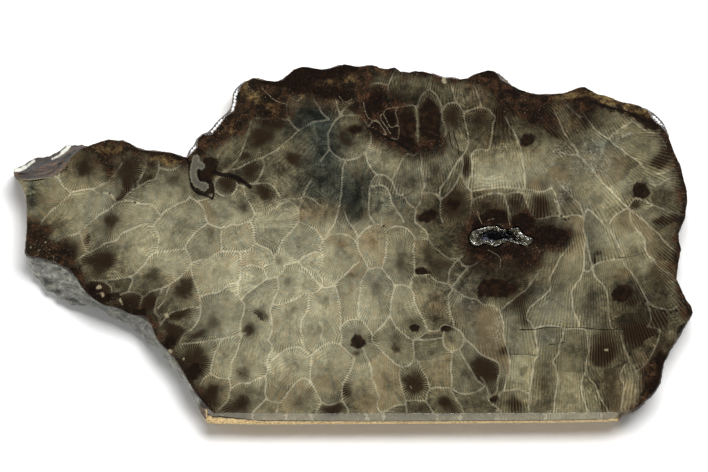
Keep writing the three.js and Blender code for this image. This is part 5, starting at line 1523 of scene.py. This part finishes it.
class Shader:
    """A material's node tree, written as sums: values may be numbers or other nodes' outputs."""

    def __init__(self, name):
        self.material = bpy.data.materials.new(name)
        self.material.use_nodes = True
        self.tree = self.material.node_tree
        self.surface = self.tree.nodes["Principled BSDF"]
        self.place = self.gain(self.node("ShaderNodeTexCoord").outputs["Object"], 1 / MM)

    def node(self, kind, **settings):
        made = self.tree.nodes.new(kind)
        for key, value in settings.items():
            setattr(made, key, value)
        return made

    def feed(self, socket, value):
        if isinstance(value, bpy.types.NodeSocket):
            self.tree.links.new(value, socket)
        else:
            socket.default_value = value

    def set(self, **values):
        for key, value in values.items():
            self.feed(self.surface.inputs[key.replace("_", " ")], value)

    def attribute(self, name):
        return self.node("ShaderNodeAttribute", attribute_name=name).outputs["Vector"]

    def parts(self, vector):
        made = self.node("ShaderNodeSeparateXYZ")
        self.feed(made.inputs[0], vector)
        return made.outputs

    def joined(self, *values):
        made = self.node("ShaderNodeCombineXYZ")
        for socket, value in zip(made.inputs, values):
            self.feed(socket, value)
        return made.outputs[0]

    # ---- sums

    def math(self, operation, a, b=0.0):
        made = self.node("ShaderNodeMath", operation=operation)
        self.feed(made.inputs[0], a)
        self.feed(made.inputs[1], b)
        return made.outputs[0]

    def add(self, a, b):
        return self.math("ADD", a, b)

    def times(self, a, b):
        return self.math("MULTIPLY", a, b)

    def less(self, a, b):
        return self.math("SUBTRACT", a, b)

    def largest(self, a, b):
        return self.math("MAXIMUM", a, b)

    def invert(self, a):
        return self.less(1.0, a)

    def step(self, value, low, high):
        """0 up to low, 1 from high on, smooth between them; low may lie above high."""
        made = self.node("ShaderNodeMapRange", interpolation_type="SMOOTHSTEP")
        for key, given in (("Value", value), ("From Min", low), ("From Max", high)):
            self.feed(made.inputs[key], given)
        return made.outputs["Result"]

    # ---- textures

    def noise(self, scale, detail=2.0, roughness=0.5, place=None, distortion=0.0):
        """Noise from 0 to 1 with features of about 1 / scale millimetres."""
        made = self.node("ShaderNodeTexNoise")
        self.feed(made.inputs["Vector"], self.place if place is None else place)
        made.inputs["Scale"].default_value = scale
        made.inputs["Detail"].default_value = detail
        made.inputs["Roughness"].default_value = roughness
        made.inputs["Distortion"].default_value = distortion
        return made.outputs["Fac"]

    def ripple(self, scale, detail=2.0, roughness=0.5):
        """The same noise from -0.5 to 0.5."""
        return self.less(self.noise(scale, detail, roughness), 0.5)

    def stretched(self, factors, degrees=0):
        """The place scaled along each axis and turned round Z, for a texture with a direction."""
        made = self.node("ShaderNodeMapping")
        self.feed(made.inputs["Vector"], self.place)
        made.inputs["Scale"].default_value = factors
        made.inputs["Rotation"].default_value = (0, 0, math.radians(degrees))
        return made.outputs[0]

    # ---- colours

    def grey(self, colour):
        made = self.node("ShaderNodeRGBToBW")
        self.feed(made.inputs[0], colour)
        return made.outputs[0]

    def gain(self, colour, amount):
        """A colour made lighter or darker by a factor."""
        made = self.node("ShaderNodeVectorMath", operation="SCALE")
        self.feed(made.inputs[0], colour)
        self.feed(made.inputs["Scale"], amount)
        return made.outputs[0]

    def mix(self, a, b, share, blend="MIX"):
        made = self.node("ShaderNodeMix", data_type="RGBA", blend_type=blend, clamp_factor=True)
        self.feed(made.inputs[0], share)
        self.feed(made.inputs[6], a)
        self.feed(made.inputs[7], b)
        return made.outputs[2]

    def lay(self, colour, over, share, strength):
        """Another colour laid over one, by a share and a strength."""
        return self.mix(colour, over, self.times(share, strength))

    def bump(self, height, depth):
        made = self.node("ShaderNodeBump")
        made.inputs["Strength"].default_value = 1.0
        made.inputs["Distance"].default_value = depth * MM
        self.feed(made.inputs["Height"], height)
        return made.outputs[0]


# The stone's and the crystals' colours as the eye reads them, 0 to 255.
PAINTS = {
    "warm_grain": (250, 250, 243),
    "cool_grain": (240, 249, 252),
    "warm_coral": (134, 108, 72),
    "pale_fleck": (186, 184, 168),
    "dark_fleck": (74, 70, 56),
    "stain": (24, 14, 7),
    "stain_ray": (62, 44, 25),
    "wall": (198, 190, 164),
    "pit": (20, 10, 5),
    "pit_grain": (52, 33, 18),
    "rust": (18, 10, 5),
    "rust_swirl": (60, 39, 24),
    "rust_spot": (18, 11, 7),
    "rust_grit": (190, 172, 140),
    "earth": (52, 34, 16),
    "earth_grain": (124, 104, 66),
    # darkest crust, also used for painted shade at the lower right edge
    "deep": (12, 6, 3),
    "deep_grain": (50, 30, 16),
    # pale seams and dots, and painted glints
    "seam_and_glint": (186, 172, 140),
    "groove": (16, 10, 7),
    "worm": (92, 90, 78),
    "worm_rim": (112, 108, 92),
    "side": (30, 18, 10),
    "side_layer": (112, 88, 56),
    "side_chalk": (158, 148, 120),
    "band": (24, 11, 4),
    "pale_band": (84, 58, 34),
    # painted shade along the lobe tip's layers
    "layer_shadow": (10, 5, 2),
    "band_foot": (12, 8, 5),
    # near white: painted highlight on the lobe tip's layers
    "streak": (196, 196, 186),
    "facet": (22, 15, 10),
    "facet_grain": (70, 52, 36),
    # near black: painted shade on the hollow's walls
    "hollow": (14, 9, 6),
    "hollow_grain": (52, 34, 22),
    "rind": (78, 79, 71),
    "rind_streak": (142, 142, 130),
    "rind_ridge": (204, 203, 190),
    # pale colour for the painted light on the bevel
    "bevel": (206, 202, 184),
    "gold": (176, 136, 82),
    "gold_grain": (250, 220, 160),
    "gold_spot": (74, 50, 28),
    "gold_line": (30, 20, 12),
    "dull": (150, 144, 124),
    "crystal": (84, 80, 66),
    "crystal_milk": (150, 144, 124),
    # painted shade: lavender grey that stands for the shaded floor seen through the hole
    "crystal_low": (176, 176, 190),
}
STONE_IOR = 1.6
CALCITE_IOR = 1.6


def paint(name):
    return (*linear(PAINTS[name]), 1.0)


def lit(name):
    """A paint as it shows under the studio's light."""
    return (*(linear(PAINTS[name]) / LIGHT_LEVEL), 1.0)


# The stone is built up from the functions below. Each lays one part of its look over the colour so far. They
# share `here`, which holds the mesh's values by name and the textures that more than one of them uses.

def stone_values(s):
    here = SimpleNamespace(base=s.attribute("tint"))
    for name, parts in {**POINT_FIELDS, **CORNER_FIELDS}.items():
        for part, value in zip(parts, s.parts(s.attribute(name))):
            setattr(here, part, value)
    here.facet = s.times(here.facet, s.step(here.depth, 2.6, 1.9))
    here.layered = s.times(here.layered, s.step(s.add(here.depth, s.noise(0.4, 4.0, 0.6)), 9.5, 8.5))
    here.strip = s.times(here.sawn, s.step(here.depth, 2.5, 2.75))
    here.medium = s.noise(0.9, 3.0, 0.6)
    here.uneven = s.less(here.medium, 0.5)
    here.fine = s.noise(2.8, 3.0, 0.65)
    here.speckle = s.noise(2.3, 4.0, 0.75)
    here.shade = s.step(s.grey(here.base), 0.2, 0.03)
    here.ray = septum_rays(s, here)
    here.beams = septum_beams(s, here)
    here.stained = stained(s, here)
    here.deep = s.step(s.add(here.deep, s.times(s.ripple(0.8, 4.0, 0.7), 1.2)), 0.3, 0.75)
    return here


def septum_rays(s, here):
    """Fine rays round each corallite's middle."""
    angle = s.math("ARCTAN2", here.sine, here.cosine)
    number = s.math("ROUND", s.times(here.count, COUNT_UNIT))
    wobble = s.times(s.ripple(0.5), 4.0)
    return s.step(s.math("COSINE", s.add(s.times(angle, number), wobble)), -0.6, 0.7)


def septum_beams(s, here):
    """Broader, uneven rays, with a pattern of each corallite's own."""
    own = s.add(s.times(here.tone, 40.0), s.times(here.out, 0.5))
    return s.noise(1.0, 3.0, 0.6, place=s.joined(s.times(here.cosine, 2.6), s.times(here.sine, 2.6), own))


def septum_strength(s, here):
    """Septa show most near the walls and in patches, and fade at a corallite's middle."""
    near = s.step(here.wall, 2.0, 0.3)
    patchy = s.step(s.noise(0.25, 3.0), 0.36, 0.6)
    strength = s.times(s.add(0.17, s.times(near, 0.44)), s.add(0.3, s.times(patchy, 0.7)))
    strength = s.times(strength, s.invert(s.times(here.shade, 0.42)))
    return s.times(strength, s.step(here.out, 0.12, 0.5))


def stained(s, here):
    """The share of the dark middles, streaked along the septa."""
    stain = s.add(here.dark, s.times(here.uneven, 0.5))
    stain = s.add(stain, s.times(s.less(here.beams, 0.5), 0.8))
    stain = s.add(stain, s.times(s.less(0.5, here.ray), 0.17))
    return s.step(stain, 0.1, 0.85)


def grain(s, here):
    """Grain, clouds, septa and the tone of each corallite, as one factor of about 1."""
    core = s.step(s.add(here.out, s.times(here.uneven, 0.5)), 0.42, 0.12)
    total = s.add(0.935, s.times(core, -0.23))
    textures = (  # each with its least factor and its spread
        (here.fine, 0.54, 0.92),
        (here.medium, 0.52, 0.96),
        (s.noise(0.33, 3.0, 0.6), 0.56, 0.88),
        (s.noise(0.1, 4.0, 0.55), 0.4, 1.2),
        (here.tone, 0.8, 0.34),
        (here.beams, 0.58, 0.8),
    )
    for texture, least, spread in textures:
        total = s.times(total, s.add(least, s.times(texture, spread)))
    total = s.times(total, s.add(1.0, s.times(s.less(here.ray, 0.52), septum_strength(s, here))))

    # curved plates across the septa
    arcs = s.math("SINE", s.add(s.times(here.wall, 7.5), s.times(s.noise(0.3, 1.0), 14.0)))
    arc_share = s.times(s.step(s.noise(0.16, 1.0), 0.46, 0.66), 0.12)
    total = s.times(total, s.add(1.0, s.times(arcs, arc_share)))

    # the darker the stone, the stronger its texture shows
    return s.math("POWER", total, s.add(1.15, s.times(here.shade, 1.6)))


def coral(s, here):
    """The coral before anything is laid over it."""
    mottle = s.mix(paint("warm_grain"), paint("cool_grain"), s.step(s.noise(1.1, 2.0, 0.6), 0.38, 0.62))
    colour = s.mix(s.gain(here.base, grain(s, here)), mottle, 1.0, "MULTIPLY")
    warm = s.step(s.add(s.times(here.warmth, 0.4), here.beams), 0.72, 1.0)
    return s.lay(colour, lit("warm_coral"), warm, s.times(s.invert(here.shade), 0.35))


def calcite_flecks(s, here, colour):
    spots = s.noise(1.5, 3.0, 0.55, distortion=1.2)
    colour = s.lay(colour, lit("pale_fleck"), s.times(s.step(spots, 0.53, 0.64), here.fleck), 0.36)
    return s.lay(colour, lit("dark_fleck"), s.times(s.step(spots, 0.45, 0.36), here.fleck), 0.6)


def dark_middles(s, here, colour):
    stain = s.mix(lit("stain"), lit("stain_ray"), s.times(here.ray, 0.6))
    return s.lay(colour, stain, here.stained, 0.96)


def corallite_walls(s, here, colour):
    width = s.add(0.22, s.times(here.uneven, 0.4))
    line = s.step(here.wall, s.add(width, 0.14), s.less(width, 0.14))
    share = s.times(line, s.add(0.38, s.times(s.step(s.noise(0.3), 0.32, 0.62), 0.6)))
    share = s.times(share, s.invert(s.times(here.stained, 0.55)))
    wall = s.mix(s.gain(colour, 1.7), lit("wall"), s.less(0.52, s.times(here.shade, 0.26)))
    return s.lay(colour, wall, share, 0.76)


def dark_fillings(s, here, colour):
    """The hard-edged dark patches."""
    share = s.step(s.add(here.pit, s.times(s.ripple(1.4), 0.8)), -0.35, 0.35)
    filling = s.mix(lit("pit"), lit("pit_grain"), s.times(s.step(here.medium, 0.4, 0.75), 0.7))
    return s.lay(colour, filling, share, 0.96)


def iron_crust(s, here, colour):
    """Iron-stained crust, which soaks out into the coral along its septa."""
    edge = s.add(here.crust, s.times(s.ripple(0.4, 5.0, 0.6), 6.0))
    edge = s.add(edge, s.times(s.less(0.5, here.ray), 0.3))
    swirl = s.noise(0.4, 6.0, 0.68, distortion=0.5)
    rust = s.mix(lit("rust"), lit("rust_swirl"), s.step(swirl, 0.42, 0.64))
    earth = s.mix(lit("earth"), lit("earth_grain"), s.step(s.noise(0.7, 5.0, 0.7), 0.4, 0.62))
    rust = s.mix(rust, earth, s.step(s.add(here.ochre, s.times(s.less(swirl, 0.5), 1.2)), 0.25, 0.8))
    sparkle = s.largest(s.add(-1.4, s.times(here.speckle, 4.9)), 0.15)
    rust = s.gain(rust, s.times(s.add(0.84, s.times(here.ray, 0.3)), sparkle))
    rust = s.lay(rust, lit("rust_spot"), s.step(s.add(here.dark, s.times(here.uneven, 0.6)), 0.2, 0.8), 0.9)
    rust = s.lay(rust, lit("rust_grit"), s.step(s.noise(2.6, 3.0, 0.6), 0.63, 0.72), 0.6)
    return s.lay(colour, rust, s.step(edge, -3.2, 0.8), 0.97)


def deep_brown(s, here, colour):
    """The darkest parts of the crust, and painted shade on the slab's edge at the lower right."""
    brown = s.mix(lit("deep"), lit("deep_grain"), s.step(here.speckle, 0.46, 0.72))
    return s.lay(colour, brown, here.deep, 0.94)


def seams_and_cracks(s, here, colour):
    """Pale seams and dots, a few of them painted glints, then dark cracks and dots."""
    pale = s.step(s.add(here.dot, s.times(s.less(here.fine, 0.5), 0.7)), -0.08, 0.25)
    colour = s.lay(colour, lit("seam_and_glint"), pale, 0.6)
    dark = s.step(s.add(here.groove, s.times(here.uneven, 0.5)), -0.14, 0.1)
    return s.lay(colour, lit("groove"), dark, 0.95)


def fissure_filling(s, here, colour):
    share = s.step(s.add(here.worm, s.times(s.ripple(1.3, 4.0, 0.7), 1.1)), -0.1, 0.12)
    filling = s.mix(lit("worm"), lit("worm_rim"), s.step(here.worm, 0.55, 0.2))
    return s.lay(colour, s.gain(filling, s.add(-0.3, s.times(here.speckle, 2.6))), share, 0.96)


def broken_side(s, here, colour):
    """The broken side, darker and browner further down."""
    layers = s.noise(0.3, 6.0, 0.68, place=s.stretched((0.7, 0.7, 2.2)))
    weather = s.mix(lit("side"), lit("side_layer"), s.step(layers, 0.42, 0.6))
    weather = s.mix(weather, lit("side_chalk"), s.step(s.noise(0.25, 6.0, 0.7), 0.52, 0.66))
    weather = s.gain(weather, s.add(-0.2, s.times(here.speckle, 2.4)))
    share = s.times(here.side, s.step(s.add(here.depth, s.times(here.uneven, 2.0)), 0.3, 2.6))
    share = s.times(share, s.invert(s.times(here.deep, s.step(here.depth, 6.0, 3.5))))
    return s.lay(colour, weather, s.times(share, s.invert(here.sawn)), 0.85)


def layered_tip(s, here, colour):
    """Thin layers at the lobe's end, with painted shade along them and painted white highlights near the top.
    """
    layers = s.noise(1.0, 4.0, 0.6, place=s.stretched((0.12, 1.4, 1.4), -28))
    bands = s.mix(lit("band"), lit("pale_band"), s.step(layers, 0.42, 0.6))
    bands = s.gain(bands, s.add(-0.2, s.times(here.speckle, 2.4)))
    # painted shade lines along the layers
    dark = s.step(s.add(here.shadow, s.times(here.uneven, 0.5)), -0.25, 0.1)
    bands = s.mix(bands, lit("layer_shadow"), dark)
    foot = s.step(s.add(here.depth, s.times(here.uneven, 1.2)), 5.0, 6.2)
    bands = s.lay(bands, lit("band_foot"), foot, 0.8)
    # painted white highlights along the upper layers of the tip
    streak = s.step(s.add(here.streak, s.times(here.uneven, 0.7)), -0.2, 0.2)
    bands = s.lay(bands, lit("streak"), streak, s.step(here.depth, 8.0, 6.5))
    return s.lay(colour, bands, here.layered, 0.95)


def facets_and_hollow(s, here, colour):
    """The glossy facets, and the walls of the hollow darkened to near black as painted shade."""
    patchy = s.step(here.medium, 0.45, 0.7)
    colour = s.lay(colour, s.mix(lit("facet"), lit("facet_grain"), patchy), here.facet, 0.85)
    return s.lay(colour, s.mix(lit("hollow"), lit("hollow_grain"), patchy), here.hollow, 0.95)


def grey_rind(s, here, colour):
    """Grey rind with pale ridges."""
    streaks = s.noise(0.5, 5.0, 0.62, place=s.stretched((0.4, 1.8, 1.0), 35))
    grey = s.mix(lit("rind"), lit("rind_streak"), s.step(streaks, 0.32, 0.68))
    ridge = s.math("ABSOLUTE", s.ripple(0.3, 3.0))
    grey = s.lay(grey, lit("rind_ridge"), s.step(ridge, 0.03, 0.0), 0.4)
    return s.mix(colour, s.gain(grey, s.add(0.72, s.times(here.fine, 0.7))), here.rind)


def sawn_edge(s, here, colour):
    """The bevel shows the corals, lightened with painted light, and the strip below it is speckled gold under
    a dark line.
    """
    bevel = s.times(here.sawn, s.step(here.depth, 2.75, 2.5))
    # painted light: the bevel, which faces away from the main softbox, is made paler
    colour = s.mix(colour, s.mix(s.gain(colour, 1.65), lit("bevel"), 0.25), bevel)
    gold = s.mix(paint("gold"), paint("gold_grain"), s.step(s.noise(1.6, 4.0, 0.7), 0.36, 0.56))
    gold = s.mix(gold, paint("gold_spot"), s.step(s.noise(2.2, 3.0), 0.62, 0.7))
    gold = s.mix(gold, paint("gold_line"), s.step(here.depth, 3.0, 2.75))
    return s.lay(colour, gold, here.strip, 0.97)


def sawn_back(s, here, colour):
    """The back is sawn and not polished, so it is paler and duller."""
    return s.mix(colour, s.mix(colour, lit("dull"), 0.42), here.back)


def stone_roughness(s, here):
    glossy = s.largest(here.facet, s.times(here.hollow, 0.8))
    rough = s.add(0.07, s.times(here.fine, 0.04))
    rough = s.add(rough, s.times(s.times(here.side, s.invert(glossy)), 0.75))
    for share, least in ((here.rind, 0.72), (here.back, 0.62), (here.strip, 0.5)):
        rough = s.largest(rough, s.times(share, least))
    return rough


def stone_relief(s, here):
    """Lumps on the broken side and saw marks on the back."""
    lumps = s.add(s.noise(1.6, 5.0, 0.65), s.times(s.noise(6.0), 0.3))
    relief = s.times(lumps, s.times(here.side, s.invert(here.facet)))
    saw_marks = s.noise(1.0, place=s.stretched((0.05, 2.4, 1.0), 8))
    return s.add(relief, s.times(s.times(saw_marks, here.back), 0.15))


def stone():
    s = Shader("petoskey_stone")
    here = stone_values(s)
    colour = coral(s, here)
    for lay_over in (
        calcite_flecks, dark_middles, corallite_walls, dark_fillings, iron_crust, deep_brown,
        seams_and_cracks, fissure_filling, broken_side, layered_tip, facets_and_hollow, grey_rind, sawn_edge,
        sawn_back,
    ):
        colour = lay_over(s, here, colour)
    s.set(Base_Color=colour, Roughness=stone_roughness(s, here), IOR=STONE_IOR)
    s.set(Normal=s.bump(stone_relief(s, here), 0.22))
    return s.material


def calcite():
    s = Shader("clear_calcite")
    _, _, height = s.parts(s.place)
    milky = s.mix(paint("crystal"), paint("crystal_milk"), s.step(s.noise(0.8, 3.0), 0.4, 0.65))
    # painted shade: the lower crystals take the lavender grey of the shaded floor seen through the hole
    milky = s.mix(milky, paint("crystal_low"), s.step(height, 11.5, 9.5))
    s.set(Base_Color=milky, Roughness=s.add(0.04, s.times(s.noise(1.6), 0.1)), IOR=CALCITE_IOR)
    s.set(Transmission_Weight=0.55, Normal=s.bump(s.noise(2.5, 3.0), 0.03))
    return s.material


def pale_floor():
    s = Shader("pale_floor")
    s.set(Base_Color=(0.93, 0.93, 0.93, 1.0), Roughness=0.9)
    return s.material


# ---------------------------------------------------------------- the crystals in the hollow

CRUST_EDGE = 0.8  # longest edge of the crust itself
CRYSTAL_GAP = 1.25  # least distance between neighbouring crystals
CRYSTAL_SIDES = 6
CRYSTAL_ROOT = -0.3  # where a crystal starts, under the crust's surface
ROOT_SHARE = 0.8  # and its width there
CRYSTAL_RADIUS = (0.35, 0.7)
SHAFT_HEIGHT = (0.1, 0.4)
TIP_HEIGHT = (0.3, 0.6)
MOST_TILT = 0.35
HOLLOW_MIDDLE = (495.6, 237.3)
BELOW_FACE = 0.05  # crystals end this far below the polished face


def crystal(base, axis, radius, shaft, tip, turn):
    """A pointed six-sided crystal: its points, and its triangles as numbers into them."""
    across = axis.orthogonal().normalized()
    other = axis.cross(across)
    points = []
    for height, share in ((CRYSTAL_ROOT, ROOT_SHARE), (shaft, 1.0)):
        for k in range(CRYSTAL_SIDES):
            angle = turn + 2 * math.pi * k / CRYSTAL_SIDES
            outwards = across * math.cos(angle) + other * math.sin(angle)
            points.append(base + axis * height + outwards * radius * share)
    points.append(base + axis * (shaft + tip))
    faces = []
    for k in range(CRYSTAL_SIDES):
        after = (k + 1) % CRYSTAL_SIDES
        faces += [(k, after, CRYSTAL_SIDES + after), (k, CRYSTAL_SIDES + after, CRYSTAL_SIDES + k)]
        faces.append((CRYSTAL_SIDES + k, CRYSTAL_SIDES + after, 2 * CRYSTAL_SIDES))
    faces += [(0, k + 1, k) for k in range(1, CRYSTAL_SIDES - 1)]
    return points, faces


def standing_crystals(points, faces):
    """Small crystals all over the crust's inner side, at least a set distance apart."""
    random = np.random.RandomState(11)
    a, b, c = points[faces[:, 0]], points[faces[:, 1]], points[faces[:, 2]]
    middles = (a + b + c) / 3
    across = np.cross(b - a, c - a)
    normals = across / np.maximum(np.linalg.norm(across, axis=1), TINY)[:, None]
    eye = np.array([*plot(*HOLLOW_MIDDLE), THICKNESS + 4])
    inner = np.flatnonzero(((eye - middles) * normals).sum(axis=1) > 1.0)
    placed = []
    made_points = []
    made_faces = []
    for i in random.permutation(inner):
        if any(np.linalg.norm(middles[i] - other) < CRYSTAL_GAP for other in placed):
            continue
        placed.append(middles[i])
        tilt = random.normal(0, MOST_TILT, 3)
        radius = random.uniform(*CRYSTAL_RADIUS)
        shaft = random.uniform(*SHAFT_HEIGHT)
        tip = random.uniform(*TIP_HEIGHT)
        turn = random.uniform(0, 1)
        axis = Vector(normals[i] + tilt).normalized()
        spots, sides = crystal(Vector(middles[i]), axis, radius, shaft, tip, turn)
        made_faces += [tuple(len(made_points) + k for k in side) for side in sides]
        made_points += [tuple(spot) for spot in spots]
    made = np.array(made_points)
    made[:, 2] = np.minimum(made[:, 2], THICKNESS - BELOW_FACE)
    return made, np.array(made_faces)


def make_crystals():
    points, faces = node_mesh("vug_crystals")
    points, faces = refine(points, faces, CRUST_EDGE)
    more, more_faces = standing_crystals(points, faces)
    faces = np.vstack([faces, more_faces + len(points)])
    points = np.vstack([points, more])
    mesh = build_mesh("calcite_crust", points, faces)
    crystals = add_object("calcite_crust", mesh)
    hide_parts("vug_crystals")
    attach(crystals, "root")
    mesh.materials.append(calcite())


# ---------------------------------------------------------------- floor, light and camera

CAMERA_HEIGHT = 2500.0
SENSOR = 36.0
VIEW_MIDDLE = plot(IMAGE[0] / 2, IMAGE[1] / 2)
VIEW_WIDTH = IMAGE[0] * STEP
CLIP_END = 20.0  # metres
FLOOR_HALF = 4000.0
FLOOR_GAP = 0.02
WORLD_STRENGTH = 0.05

# Softboxes: where each stands round the slab and above it in degrees, its distance, width, height and power.
SOFTBOXES = {
    "main_softbox": (70, 68, 1500, 640, 400, 26),
    "left_softbox": (150, 6, 1500, 1400, 260, 25),
    "right_softbox": (45, 6, 1500, 900, 260, 16),
    "front_softbox": (262, 24, 1500, 1000, 300, 6),
    "back_softbox": (97, 10, 1500, 300, 200, 4),
}


def make_floor():
    signs = ((-1, -1), (1, -1), (1, 1), (-1, 1))
    corners = np.array([(x * FLOOR_HALF, y * FLOOR_HALF, -FLOOR_GAP) for x, y in signs])
    floor = add_object("floor", build_mesh("floor", corners, np.array([(0, 1, 2), (0, 2, 3)])))
    floor.data.materials.append(pale_floor())


def make_softbox(name, around, above, far, width, height, power):
    light = bpy.data.lights.new(name, "AREA")
    light.shape = "RECTANGLE"
    light.size = width * MM
    light.size_y = height * MM
    light.energy = power
    lamp = add_object(name, light)
    turn = math.radians(around)
    rise = math.radians(above)
    direction = Vector((math.cos(turn) * math.cos(rise), math.sin(turn) * math.cos(rise), math.sin(rise)))
    lamp.location = direction * far * MM
    lamp.rotation_euler = (-lamp.location).to_track_quat("-Z", "Y").to_euler()


def make_world():
    world = bpy.data.worlds.new("studio")
    world.use_nodes = True
    background = world.node_tree.nodes["Background"]
    background.inputs["Color"].default_value = (1.0, 1.0, 1.0, 1.0)
    background.inputs["Strength"].default_value = WORLD_STRENGTH
    bpy.context.scene.world = world


def make_camera():
    camera = bpy.data.cameras.new("camera")
    camera.sensor_width = SENSOR
    camera.lens = SENSOR * (CAMERA_HEIGHT - THICKNESS) / VIEW_WIDTH
    camera.clip_end = CLIP_END
    eye = add_object("camera", camera)
    eye.location = (VIEW_MIDDLE[0] * MM, VIEW_MIDDLE[1] * MM, CAMERA_HEIGHT * MM)
    bpy.context.scene.camera = eye


make_slab()
make_crystals()
make_floor()
for name, placing in SOFTBOXES.items():
    make_softbox(name, *placing)
make_world()
make_camera()
bpy.context.scene.view_settings.view_transform = "Standard"
